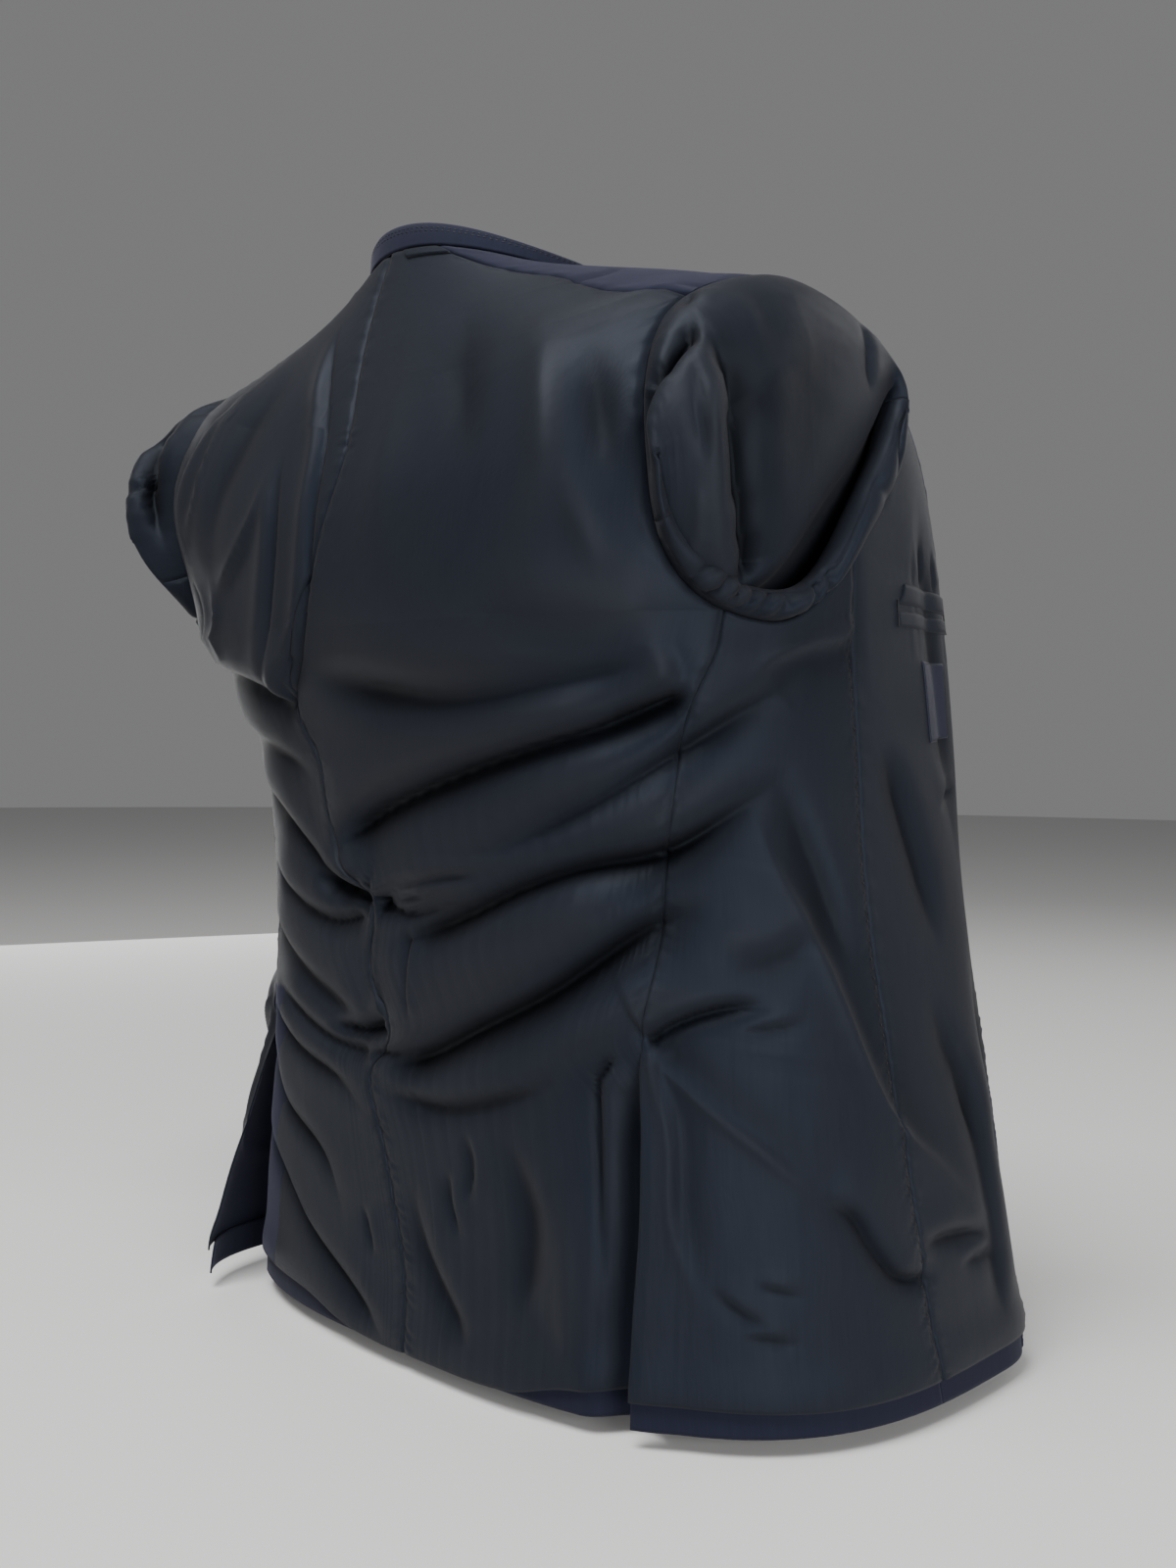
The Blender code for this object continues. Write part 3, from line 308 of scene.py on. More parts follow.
def between(rows, steps):
    """A smooth curve through rows, in so many steps from each to the next: its stops and values."""
    stops = np.linspace(0, len(rows) - 1, steps * (len(rows) - 1) + 1)
    return stops, curve([(i, *row) for i, row in enumerate(rows)], stops)


def crease_lift(here, crease, line, up, among=True):
    """How far one crease, along a line with its outward directions, moves each point."""
    lift = np.zeros(here.shape[:-1])
    margin = CREASE_SPREAD * max(crease.width, crease.reach)
    near = np.all((here > line.min(0) - margin) & (here < line.max(0) + margin), axis=-1) & among
    if not near.any():
        return lift
    points = here[near]
    runs = line[1:] - line[:-1]
    lengths = np.linalg.norm(runs, axis=1) + 1e-9
    offset = points[:, None] - line[None, :-1]
    share = np.clip((offset * runs).sum(-1) / lengths**2, 0, 1)
    aside = offset - share[..., None] * runs
    distance = np.linalg.norm(aside, axis=-1)
    best = distance.argmin(1)
    pick = np.arange(len(points))
    hand = (np.cross(up[best], runs[best]) * aside[pick, best]).sum(-1)
    gone = np.concatenate(((0,), np.cumsum(lengths)))[best] + share[pick, best] * lengths[best]
    gone /= lengths.sum()
    fade = ease(gone / crease.fades[0]) * ease((1 - gone) / crease.fades[1])
    away = distance[pick, best]
    trough = crease.depth * np.exp(-((away / crease.width) ** crease.sharp))
    share_out = away / crease.reach
    swell = crease.belly * (share_out * np.exp(1 - share_out)) ** SWELL_PEAK * (hand > 0)
    lift[near] = fade * (trough + swell)
    return lift


def creased(turn, drop):
    """How far the creases move the cloth at each place."""
    here = form(turn, drop)
    lift = np.zeros(turn.shape)
    for crease in CREASES:
        line = between(crease.path, PATH_STEPS)[1].T
        lift += crease_lift(here, crease, form(*line), outward(*line))
    across = (np.abs(turn) - ARMHOLE_TURN) / ARMHOLE_HALF_TURN
    down = (drop - ARMHOLE_DROP) / ARMHOLE_HALF_DROP
    calm = ease((np.hypot(across, down) - 1) / CALM_ARMHOLE) * ease(drop / CALM_NECK)
    return lift * calm


def armhole(angle, square=ARMHOLE_SQUARE):
    """The (turn, drop) of the right armhole's edge."""
    across, down = np.cos(np.radians(angle)), np.sin(np.radians(angle))
    height = np.copysign(np.abs(down) ** square, down)
    straighter = (across < 0) & (down < 0)
    across = np.where(straighter, -np.abs(across) ** ARMHOLE_BACK_SQUARE, across)
    past_front = (np.asarray(angle) + 180) % 360 - 180
    rise = ease((past_front - RISE_FROM) / RISE_RUN) * ease((RISE_UNTIL - past_front) / RISE_RUN)
    drop = ARMHOLE_DROP + ARMHOLE_HALF_DROP * height - ARMHOLE_LEAN * across * (1 + down) / 2
    return np.stack((ARMHOLE_TURN + ARMHOLE_HALF_TURN * across, drop - ARMHOLE_FRONT_RISE * rise), axis=-1)


def armhole_angle(low, high, reached):
    """The angle between two others at which the armhole reaches a seam."""
    for _ in range(HALVINGS):
        middle = (low + high) / 2
        if reached(*armhole(middle)):
            high = middle
        else:
            low = middle
    return (low + high) / 2


SIDE_BACK_ANGLE = armhole_angle(160, 100, lambda turn, drop: turn > read(UPPER_SIDE_BACK_SEAM, drop))
EVEN_SHARE = 0.45


def mixed(a, b, share):
    return a * (1 - share) + b * share


def along(seam, drops):
    """(turn, drop) at each drop of a seam."""
    return np.stack((read(seam, drops), drops), axis=-1)


def spread(rear, fore, columns):
    """Rows of (turn, drop) between two edges, closer together near them."""
    t = np.linspace(0, 1, columns + 1)
    share = mixed(0.5 - 0.5 * np.cos(np.pi * t), t, EVEN_SHARE)[None, :, None]
    return mixed(rear[:, None], fore[:, None], share)


def arc_along(points, axis):
    steps = np.linalg.norm(np.diff(points, axis=axis), axis=-1)
    zero = np.zeros_like(np.take(steps, [0], axis=axis))
    return np.concatenate((zero, np.cumsum(steps, axis=axis)), axis=axis)


SEAM_PINCH, SEAM_PINCH_WIDTH = 0.0014, 0.0032
PUCKER, PUCKER_FROM, PUCKER_PEAK, PUCKER_WIDTH = 0.0006, 0.002, 0.004, 0.006
PUCKER_WAVES = (520, 197, 940)


def pinched(points, rear, fore, seed):
    """How far the cloth sinks at its seams, with small puckers; rear and fore say how much at each row."""
    arc = arc_along(points, 1)
    main, slow, fine = (arc_along(points, 0) * wave for wave in PUCKER_WAVES)
    wave = np.sin(main + seed) * np.sin(slow + 2.1 * seed) + 0.5 * np.sin(fine + 3 * seed)
    lift = np.zeros(arc.shape)
    for away, wanted in ((arc, rear), (arc[:, -1:] - arc, fore)):
        sunk = -SEAM_PINCH * np.exp(-((away / SEAM_PINCH_WIDTH) ** 2))
        bump = np.exp(-(((away - PUCKER_PEAK) / PUCKER_WIDTH) ** 2))
        pucker = PUCKER * wave * bump * ease(away / PUCKER_FROM)
        lift += (sunk + pucker) * np.reshape(wanted, (-1, 1))
    return lift


FOLD_TROUGH, FOLD_RIDGE = 0.009, 0.007
LINING_WALL, WOOL_WALL = 0.0013, 0.0018


def mesh_piece(name, points, faces, finishes):
    mesh = bpy.data.meshes.new(name)
    mesh.from_pydata(points, [], faces)
    mesh.shade_smooth()
    for finish in finishes:
        mesh.materials.append(finish)
    made = bpy.data.objects.new(name, mesh)
    bpy.context.scene.collection.objects.link(made)
    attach(made, "root")
    return made


def corners_of(grid):
    """The four corners of each face of a grid."""
    return np.stack((grid[:-1, :-1], grid[1:, :-1], grid[1:, 1:], grid[:-1, 1:]), axis=2)


def cloth(name, points, finishes, thickness=LINING_WALL, wool_side=None, fold=None):
    """A sheet of cloth over a grid of points, with its UV map in metres and how far it is folded."""
    index = np.arange(points[..., 0].size).reshape(points.shape[:2])
    faces = corners_of(index).reshape(-1, 4).tolist()
    made = mesh_piece(name, points.reshape(-1, 3).tolist(), faces, finishes)
    mesh = made.data
    arc = arc_along(points, 1)
    place = np.stack((arc - arc[:, -1:] / 2, -arc_along(points, 0)), axis=-1)
    layer = mesh.uv_layers.new(name="cloth")
    layer.uv.foreach_set("vector", corners_of(place).reshape(-1).astype(np.float32))
    # The fold depth drives the painted shade in troughs and the painted highlight on ridges in the cloth
    # material.
    if fold is not None:
        depth = np.clip(fold / np.where(fold < 0, FOLD_TROUGH, FOLD_RIDGE), -1, 1)
        folded = mesh.attributes.new("fold", "FLOAT", "POINT")
        folded.data.foreach_set("value", depth.reshape(-1).astype(np.float32))
    if wool_side is not None:
        mesh.polygons.foreach_set("material_index", wool_side.reshape(-1).astype(np.int32))
    wall = made.modifiers.new("Wall", "SOLIDIFY")
    wall.thickness = thickness
    wall.offset = -1
    wall.material_offset = 1
    return made


def fill(tree, made, sockets):
    """Give a node's inputs values, or links from other nodes."""
    for key, value in sockets.items():
        if isinstance(value, bpy.types.NodeSocket):
            tree.links.new(value, made.inputs[key])
        else:
            made.inputs[key].default_value = value


def add_node(tree, kind, sockets, **values):
    made = tree.nodes.new(f"ShaderNode{kind}")
    for key, value in values.items():
        setattr(made, key, value)
    fill(tree, made, sockets)
    return made.outputs


def new_material(name):
    made = bpy.data.materials.new(name)
    made.use_nodes = True
    return made, made.node_tree, made.node_tree.nodes["Principled BSDF"]


TWILL_HEIGHT, STREAK_HEIGHT, SLACK = 0.00003, 0.00008, 0.0007
STREAK_SCALE, RUMPLE_SCALE, SLACK_SCALE = (900, 26), 55, 13


def weave_group():
    """Warp streaks, a fine twill and soft rumples, from a UV map in metres."""
    group = bpy.data.node_groups.new("Weave", "ShaderNodeTree")
    group.interface.new_socket("UV", in_out="INPUT", socket_type="NodeSocketVector")
    for label in ("Pitch", "Streaks", "Rumple"):
        group.interface.new_socket(label, in_out="INPUT", socket_type="NodeSocketFloat")
    for label in ("Shade", "Height"):
        group.interface.new_socket(label, in_out="OUTPUT", socket_type="NodeSocketFloat")
    given, leave = group.nodes.new("NodeGroupInput").outputs, group.nodes.new("NodeGroupOutput")

    def maths(operation, *inputs):
        return add_node(group, "Math", dict(enumerate(inputs)), operation=operation)[0]

    def noise(place, scale, detail, distortion=0.0):
        sockets = {"Vector": place, "Scale": scale, "Detail": detail, "Distortion": distortion}
        return add_node(group, "TexNoise", sockets)[0]

    split = add_node(group, "SeparateXYZ", {0: given["UV"]})
    twill = maths("DIVIDE", maths("ADD", split["X"], split["Y"]), given["Pitch"])
    twill = maths("SINE", maths("MULTIPLY", twill, 2 * math.pi))
    stretch = {i: maths("MULTIPLY", split[i], scale) for i, scale in enumerate(STREAK_SCALE)}
    streak = noise(add_node(group, "CombineXYZ", stretch)[0], 1, 2)
    drift = maths("MULTIPLY", maths("SUBTRACT", streak, 0.5), given["Streaks"])
    height = maths("MULTIPLY", twill, TWILL_HEIGHT)
    for relief, size in (
        (noise(given["UV"], RUMPLE_SCALE, 3), given["Rumple"]), (drift, STREAK_HEIGHT),
        (noise(given["UV"], SLACK_SCALE, 2, 0.6), SLACK),
    ):
        height = maths("ADD", height, maths("MULTIPLY", relief, size))
    fill(group, leave, {"Shade": maths("ADD", drift, 0.5), "Height": height})
    return group


WEAVE = weave_group()
# In its troughs the cloth's colour sinks towards near-black, by up to TROUGH_SHADE of the way: a painted
# shade in the creases.
TROUGH_SHADE, TROUGH_SHADE_COLOUR = 0.90, (0.0008, 0.0009, 0.0012, 1)
GRAZING, CLOTH_GLOSS = 0.35, (0.46, 0.52, 0.62, 1)


def cloth_material(
    name, dark, light, edge, ridge_highlight, *, pitch, streaks, rumple, roughness, specular, sheen, tint, bump
):
    """Woven cloth: two yarn colours, a lighter one at grazing angles as a painted sheen, a painted highlight
    on ridges and painted shade in troughs, and its weave as a bump.
    """
    made, tree, shader = new_material(name)
    place = add_node(tree, "UVMap", {}, uv_map="cloth")[0]
    given = {"UV": place, "Pitch": pitch, "Streaks": streaks, "Rumple": rumple}
    weave = add_node(tree, "Group", given, node_tree=WEAVE)

    def blend(share, first, second):
        return add_node(tree, "Mix", {0: share, 6: first, 7: second}, data_type="RGBA")[2]

    # The edge colour is mixed in where the cloth turns away from view. It is a painted sheen, and on the
    # lining it also stands for the shot weave.
    facing = add_node(tree, "LayerWeight", {"Blend": GRAZING})["Facing"]
    fold = add_node(tree, "Attribute", {}, attribute_name="fold")["Fac"]
    # Painted shade: the deeper a trough, the more its colour sinks towards near-black.
    trough = add_node(tree, "Math", {0: fold, 1: -TROUGH_SHADE}, operation="MULTIPLY", use_clamp=True)[0]
    yarn = blend(weave["Shade"], (*dark, 1), (*light, 1))
    # Painted highlight: the higher a ridge, the more its colour turns to the lighter ridge colour.
    ridge = blend(fold, blend(facing, yarn, (*edge, 1)), (*ridge_highlight, 1))
    relief = {"Strength": bump, "Distance": 1, "Height": weave["Height"]}
    fill(tree, shader, {
        "Base Color": blend(trough, ridge, TROUGH_SHADE_COLOUR), "Normal": add_node(tree, "Bump", relief)[0],
        "Roughness": roughness, "Specular IOR Level": specular, "Specular Tint": CLOTH_GLOSS,
        "Sheen Weight": sheen, "Sheen Roughness": 0.4, "Sheen Tint": (*tint, 1),
    })
    return made


# The lining is a dark slate satin with a brownish weft, so that it turns greyer where it curves away; that
# greyer tone is partly its shot weave and partly a painted sheen.
# Its fourth colour, on ridges, is a painted highlight.
LINING = cloth_material(
    "lining_satin", (0.0050, 0.0069, 0.0112), (0.0110, 0.0135, 0.0205), (0.0150, 0.0152, 0.0180),
    (0.0118, 0.0130, 0.0172), pitch=0.0006, streaks=0.9, rumple=0.0005, roughness=0.46,
    specular=0.14, sheen=0.05, tint=(0.46, 0.46, 0.48), bump=0.7,
)
# The wool's lighter colour at grazing angles is a painted sheen, and its lighter colour on ridges a painted
# highlight.
WOOL = cloth_material(
    "wool_twill", (0.0065, 0.0072, 0.0150), (0.0122, 0.0137, 0.0260), (0.0155, 0.0155, 0.0255),
    (0.020, 0.021, 0.036), pitch=0.0010, streaks=0.8, rumple=0.0008, roughness=0.80,
    specular=0.15, sheen=0.10, tint=(0.45, 0.45, 0.60), bump=0.6,
)

# Vents: below their top the side panel's edge stands out over the back's, which sinks in.
Vent = namedtuple("Vent", "top opening reach side_lift back_lift underlap wool")
VENTS = {
    RIGHT: Vent(0.495, 0.08, 6, 0.004, -0.018, 3.0, 0),
    LEFT: Vent(0.495, 0.26, 16, 0.044, 0.000, 0.0, 8),
}
VENT_FOLD_RUN, VENT_WOOL_BELOW = 0.03, 0.01
# The lining droops over the hem band by this much at each turn.
LINING_DROOP = (
    (-180, 0.001), (-100, 0.002), (-60, 0.000), (-40, 0.000), (-22, 0.002), (-11, 0.015), (4, 0.017),
    (18, 0.015), (26, 0.003), (36, 0.000), (60, 0.003), (90, 0.001), (180, 0.001),
)
DROOP_FROM = 0.66
HEM_BELLY, HEM_BELLY_RISE = 0.0022, 0.016
HEM_LIP, HEM_LIP_RUN = 0.0006, 0.03


def vent_lift(grid, side, on_side_panel):
    vent, (turn, drop) = VENTS[side], np.moveaxis(grid, -1, 0)
    near = 1 - np.abs(turn - read(SIDE_BACK_SEAMS[side], drop)) / vent.reach
    stands_out = vent.side_lift if on_side_panel else vent.back_lift
    return stands_out * ease(near) * ease((drop - vent.top) / vent.opening)


def lining_hem(grid, side):
    """The lowest rows let down over the hem band, and how far they belly out."""
    turn, drop = grid[..., 0], grid[..., 1]
    droop = read(LINING_DROOP, side * turn) * ease((drop - DROOP_FROM) / (LINING_HEM - DROOP_FROM))
    belly = HEM_BELLY * np.exp(-(((LINING_HEM - HEM_BELLY_RISE / 2 - drop) / HEM_BELLY_RISE) ** 2))
    lip = HEM_LIP * ease((drop - LINING_HEM + HEM_LIP_RUN) / HEM_LIP_RUN)
    return np.stack((turn, drop + droop), axis=-1), belly + lip


def sewn(rows, vent):
    """1 where a vent's edge is sewn, 0 where it is free."""
    return 1 - ease((rows[:, 1] - vent.top) / VENT_FOLD_RUN)


def panel(name, grid, finishes, side, lift=0.0, seams=(1, 1), wool_side=None, thickness=LINING_WALL):
    """A panel over rows of (turn, drop); its columns run towards the front."""
    turn, drop = side * grid[..., 0], grid[..., 1]
    flat, folds = form(turn, drop), creased(turn, drop)
    raised = lift + folds + pinched(flat, *seams, seed=len(name))
    points = flat + outward(turn, drop) * raised[..., None]
    if side == LEFT:
        points, folds = points[:, ::-1], folds[:, ::-1]
        wool_side = None if wool_side is None else wool_side[:, ::-1]
    return cloth(name, points, finishes, thickness, wool_side, folds)


def hung(node_name):
    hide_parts(node_name)


TUCK_TURN, TUCK_DEPTH = 0.45, 0.0019


def tucked(grid, lift, until=BACK_LENGTH):
    """The rear edge passed under the panel behind it, as its seam allowance."""
    under = grid[:, 0, 1] < until
    grid[:, 0, 0] -= TUCK_TURN * under
    lift = lift + np.zeros(grid.shape[:2])
    lift[:, 0] -= TUCK_DEPTH * under
    return lift


YOKE_ROWS, ARMHOLE_ROWS, SKIRT_ROWS = 36, 44, 180
NECK_GAP = 0.0004
YOKE_DROPS = np.linspace(NECK_GAP, SHOULDER_DROP, YOKE_ROWS)
SKIRT_DROPS = np.linspace(SKIRT_TOP, LINING_HEM, SKIRT_ROWS)
BACK_COLUMNS = 104


def slanted(slant):
    """The skirt's drops at an edge whose rows run lower in their middle."""
    return SKIRT_DROPS + slant * np.sin(np.pi * (SKIRT_DROPS - SKIRT_TOP) / (LINING_HEM - SKIRT_TOP))


def centre_seam(side):
    return [(drop, side * turn) for drop, turn in CENTRE_SEAM]


for side, word in SIDES:
    seam, vent = SIDE_BACK_SEAMS[side], VENTS[side]
    outer_edge = np.concatenate((
        along(YOKE_EDGE, YOKE_DROPS),
        armhole(np.linspace(YOKE_ANGLE, SIDE_BACK_ANGLE, ARMHOLE_ROWS + 1)),
        along(seam, SKIRT_DROPS),
    ))
    outer_edge[:, 0] += vent.underlap * ease((outer_edge[:, 1] - vent.top) / VENT_FOLD_RUN)
    centre_drops = np.concatenate((outer_edge[:-SKIRT_ROWS, 1], slanted(CENTRE_SLANT)))
    grid = spread(along(centre_seam(side), centre_drops), outer_edge, BACK_COLUMNS)
    grid, belly = lining_hem(grid, side)
    lift = belly + vent_lift(grid, side, False)
    if side == LEFT:
        lift = tucked(grid, lift)
    turn, drop = np.moveaxis((grid[1:, 1:] + grid[:-1, :-1]) / 2, -1, 0)
    wool_side = (read(seam, drop) - turn < vent.wool) & (drop > vent.top + VENT_WOOL_BELOW)
    seams = (1, sewn(outer_edge, vent))
    back = panel(f"back_{word}_lining", grid, (LINING, WOOL, WOOL), side, lift, seams, wool_side)
    hung(f"back_{word}")

# ------------------------------
# Side panels: lining from the bottom of the armhole to the hem, sewn to the back down to the top of
# the vent and to the front all the way. Below the vent's top the edge is free, folded and pressed.
SIDE_FRONT_SEAM = (
    (0.230, 79), (0.264, 76), (0.330, 74), (0.405, 72.5), (0.530, 73.5), (0.640, 73.5), (BACK_LENGTH, 75),
)
FORE_SLANT = 0.030
SIDE_COLUMNS, UNDERARM_ROWS = 66, 7
SIDE_FRONT_ANGLE = armhole_angle(90, 40, lambda turn, drop: turn > read(SIDE_FRONT_SEAM, drop))

for side, word in SIDES:
    fore = along(SIDE_FRONT_SEAM, slanted(FORE_SLANT))
    grid = spread(along(SIDE_BACK_SEAMS[side], SKIRT_DROPS), fore, SIDE_COLUMNS)
    share = (grid[0, :, 0] - grid[0, 0, 0]) / (grid[0, -1, 0] - grid[0, 0, 0])
    top = armhole(SIDE_BACK_ANGLE + (SIDE_FRONT_ANGLE - SIDE_BACK_ANGLE) * share)
    steps = np.linspace(0, 1, UNDERARM_ROWS + 1)[:-1, None, None]
    grid = np.concatenate((mixed(top[None], grid[:1], steps), grid))
    grid, belly = lining_hem(grid, side)
    lift = tucked(grid, belly + vent_lift(grid, side, True), VENTS[side].top)
    seams = (sewn(grid[:, 0], VENTS[side]), 1)
    piece = panel(f"side_{word}_lining", grid, (LINING, WOOL), side, lift, seams)
    hung(f"side_{word}")

# ------------------------------
# Front linings: from the side panel to the facing, below the armhole's front. The right one, at the
# wearer's right here, carries the inner pocket and the label.
FACING_EDGE = (
    (0.125, 97), (0.143, 105), (0.178, 114), (0.230, 121), (0.330, 124), (0.480, 124), (0.600, 121),
    (BACK_LENGTH, 116),
)
# That edge starts below the armhole's front, clear of it by a (turn, drop).
FACING_TOP, FACING_CLEAR = 0.143, (2.5, 0.0015)
POCKET_DROP = 0.243
FRONT_COLUMNS, FRONT_ROWS = 66, 34
UPPER_FACING_EDGE = np.concatenate((
    along(FACING_EDGE, np.linspace(FACING_TOP, POCKET_DROP, FRONT_ROWS)),
    along(FACING_EDGE, SKIRT_DROPS),
))
UPPER_FACING_EDGE[0] = armhole(FACING_ANGLE) + FACING_CLEAR

for side, word in SIDES:
    top = armhole(np.linspace(FACING_ANGLE, SIDE_FRONT_ANGLE + 360, FRONT_ROWS))
    rear = np.concatenate((top, along(SIDE_FRONT_SEAM, slanted(FORE_SLANT))))
    grid, belly = lining_hem(spread(rear, UPPER_FACING_EDGE, FRONT_COLUMNS), side)
    front = panel(f"front_{word}_lining", grid, (LINING, WOOL), side, tucked(grid, belly))
    hung(f"front_{word}")

# ------------------------------
# Facings: navy wool twill down the front edges, outermost here as the blazer is inside out. Each runs
# from the back neck over the shoulder to the rounded corner at the hem, along the blazer's own edge.
FRONT_EDGE = (
    (0.000, 116), (0.040, 124), (0.100, 134), (0.180, 141), (0.280, 145), (0.430, 146), (0.560, 143),
    (0.650, 139), (0.700, 134), (0.722, 129), (BACK_LENGTH, 122),
)
FACING_COLUMNS, TOP_ROWS, FOOT_ROWS = 46, 40, 5

for side, word in SIDES:
    top = armhole(np.linspace(YOKE_ANGLE, FACING_ANGLE, TOP_ROWS))
    foot = along(FACING_EDGE, np.linspace(LINING_HEM, BACK_LENGTH, FOOT_ROWS + 1)[1:])
    rear = np.concatenate((along(YOKE_EDGE, YOKE_DROPS), top, UPPER_FACING_EDGE, foot))
    count = YOKE_ROWS + TOP_ROWS
    fore_drops = np.concatenate((np.linspace(YOKE_DROPS[0], SHOULDER_DROP, count + 1)[:-1], rear[count:, 1]))
    grid = spread(rear, along(FRONT_EDGE, fore_drops), FACING_COLUMNS)
    lift = tucked(grid, 0.0)
    piece = panel(f"facing_{word}_wool", grid, (WOOL, WOOL), side, lift, (1, 0), thickness=WOOL_WALL)
    hung(f"facing_{word}")

# ------------------------------
# Lapels: the wool facings' upper edges, turned back along their roll. As the blazer is inside out, each
# lies flat against the inner face of its facing.
LAPEL_WIDTHS = ((0.050, 20), (0.085, 21), (0.130, 17), (0.200, 12.5), (0.300, 7), (0.400, 2.2))
LAPEL_LIFT, LAPEL_GAP, LAPEL_ROLL_TURN, LAPEL_INSET = -0.0023, 0.0040, 4, 0.3
LAPEL_COLUMNS, LAPEL_DROPS = 24, np.linspace(0.055, 0.395, 70)

for side, word in SIDES:
    fold = along(FRONT_EDGE, LAPEL_DROPS) - (LAPEL_INSET, 0)
    tip = fold - read(LAPEL_WIDTHS, LAPEL_DROPS)[:, None] * (1, 0)
    grid = spread(tip, fold, LAPEL_COLUMNS)
    away = read(FRONT_EDGE, grid[..., 1]) - grid[..., 0]
    lift = LAPEL_LIFT - LAPEL_GAP * ease(away / LAPEL_ROLL_TURN)
    piece = panel(f"lapel_{word}_wool", grid, (WOOL, WOOL), side, lift, (0, 0), thickness=WOOL_WALL)
    hung(f"lapel_{word}")

# ------------------------------
# Hem bands: the wool turned up below the lining, all round between the front edges and open at the
# vents. The lining's folded edge lies over its upper edge.
BAND_TOP, BAND_ROWS, BAND_LIFT, BAND_GAP_TURN = 0.7125, 10, -0.0016, 0.05


def hem_band(part, side, word, seams, columns, on_side_panel=None, underlap=0.0):
    """One length of the band between two seams; at the vents it stands out as the lining does."""
    rear, fore = (along(seam, np.linspace(BAND_TOP, BACK_LENGTH, BAND_ROWS)) for seam in seams)
    fore[:, 0] += underlap
    grid = spread(rear, fore, columns)
    grid[:, 0, 0] += BAND_GAP_TURN
    grid[:, -1, 0] -= BAND_GAP_TURN
    lift = BAND_LIFT + (0 if on_side_panel is None else vent_lift(grid, side, on_side_panel))
    piece = panel(f"hem_{part}_{word}_wool", grid, (WOOL, WOOL), side, lift, (0, 0))
    hung(f"hem_{part}_{word}")


for side, word in SIDES:
    rear = SIDE_BACK_SEAMS[side]
    hem_band("back", side, word, (centre_seam(side), rear), 60, False, VENTS[side].underlap)
    hem_band("side", side, word, (rear, SIDE_FRONT_SEAM), 50, True)
    hem_band("front", side, word, (SIDE_FRONT_SEAM, FACING_EDGE), 60)

# ------------------------------
# Sleeves: lining outside, eased round the armhole. The head stands out as a dome and folds in behind
# the gathered underarm roll; the rest hangs down inside the body as a flat tube, open at the cuff.
SleeveRow = namedtuple(
    "SleeveRow", "cap_share cap_lift roll_share roll_lift tube_share tube_drop tube_half_turn"
)
SLEEVE_ROWS = (
    SleeveRow(-0.02, -0.0035, -0.03, -0.0035, 0.0, 0.270, 24),
    SleeveRow(0.10, 0.012, 0.30, 0.008, 0.0, 0.270, 24),
    SleeveRow(0.28, 0.023, 0.66, 0.011, 0.0, 0.270, 24),
    SleeveRow(0.50, 0.025, 0.95, 0.007, 0.0, 0.270, 24),
    SleeveRow(0.74, 0.018, 1.05, 0.000, 0.0, 0.270, 24),
    SleeveRow(0.93, 0.007, 0.95, -0.007, 0.0, 0.270, 24),
    SleeveRow(1.00, -0.005, 0.60, -0.011, 0.0, 0.270, 24),
    SleeveRow(0.97, -0.014, 0.15, -0.014, 0.1, 0.270, 24),
    SleeveRow(0.88, -0.020, 0.00, -0.015, 0.6, 0.270, 24),
    SleeveRow(0.80, -0.020, 0.00, -0.015, 1.0, 0.300, 22),
    SleeveRow(0.80, -0.020, 0.00, -0.014, 1.0, 0.380, 20),
    SleeveRow(0.80, -0.020, 0.00, -0.014, 1.0, 0.480, 18),
    SleeveRow(0.80, -0.020, 0.00, -0.014, 1.0, 0.580, 16),
    SleeveRow(0.80, -0.020, 0.00, -0.014, 1.0, 0.680, 14.5),
)
CAP_POINT, CAP_TIP_TURN = 1.0, -6.0
MOUTH_SAG = 0.012
# How far out the mouth's upper and lower lips reach, at each angle.
CAP_INSETS = (
    (0, 0.98), (25, 1.00), (42, 0.92), (55, 0.80), (70, 0.72), (90, 0.78), (120, 0.90), (150, 0.95),
    (180, 0.93),
)
ROLL_INSETS = (
    (0, 0.86), (35, 0.74), (60, 0.66), (80, 0.70), (100, 0.78), (130, 0.82), (155, 0.90), (180, 0.95),
    (270, 0.92), (360, 0.86),
)
CAP_SWELL = {RIGHT: 1.0, LEFT: 1.4}
FLAT_ANGLE, FLAT_SHARE = 330, 0.55
TUBE_CLEARANCE, TUBE_THICKNESS = 0.020, 0.034
# The pleats of the gathered roll: (angle, half width in degrees, depth).
ROLL_PLEATS = (
    (152, 1.8, 0.0060), (145, 1.6, 0.0080), (139, 2.2, 0.0060), (133, 1.8, 0.0080), (127, 2.0, 0.0075),
    (120, 2.6, 0.0050), (107, 1.5, 0.0120), (101, 2.0, 0.0070), (66, 4.0, 0.0020),
)
PLEAT_SHARP, ROLL_PLUMP, PLUMP_LIFT, PLUMP_SHARE = 1.4, 0.0030, 0.006, 0.3
UNDER_FROM, UNDER_RUN = -0.1, 0.55
RING_COLUMNS, RING_STEPS = 220, 9
RELAX_PASSES, RELAX_FROM, RELAX_TO = 110, 3, 10
FOREARM_ANGLE, HINDARM_ANGLE = 9, 170
SLEEVE_WALL = 0.0012


def mouth_edge(angle, insets, square=ARMHOLE_SQUARE, tip_turn=0.0):
    centre = np.array((ARMHOLE_TURN, ARMHOLE_DROP + MOUTH_SAG))
    edge = centre + (armhole(angle, square) - centre) * curve(insets, angle % 360)
    edge[..., 0] += tip_turn * np.maximum(np.sin(np.radians(angle)), 0)
    return edge


def normals_of(points):
    normals = np.cross(np.gradient(points, axis=0), np.gradient(points, axis=1))
    return normals / np.linalg.norm(normals, axis=-1, keepdims=True)


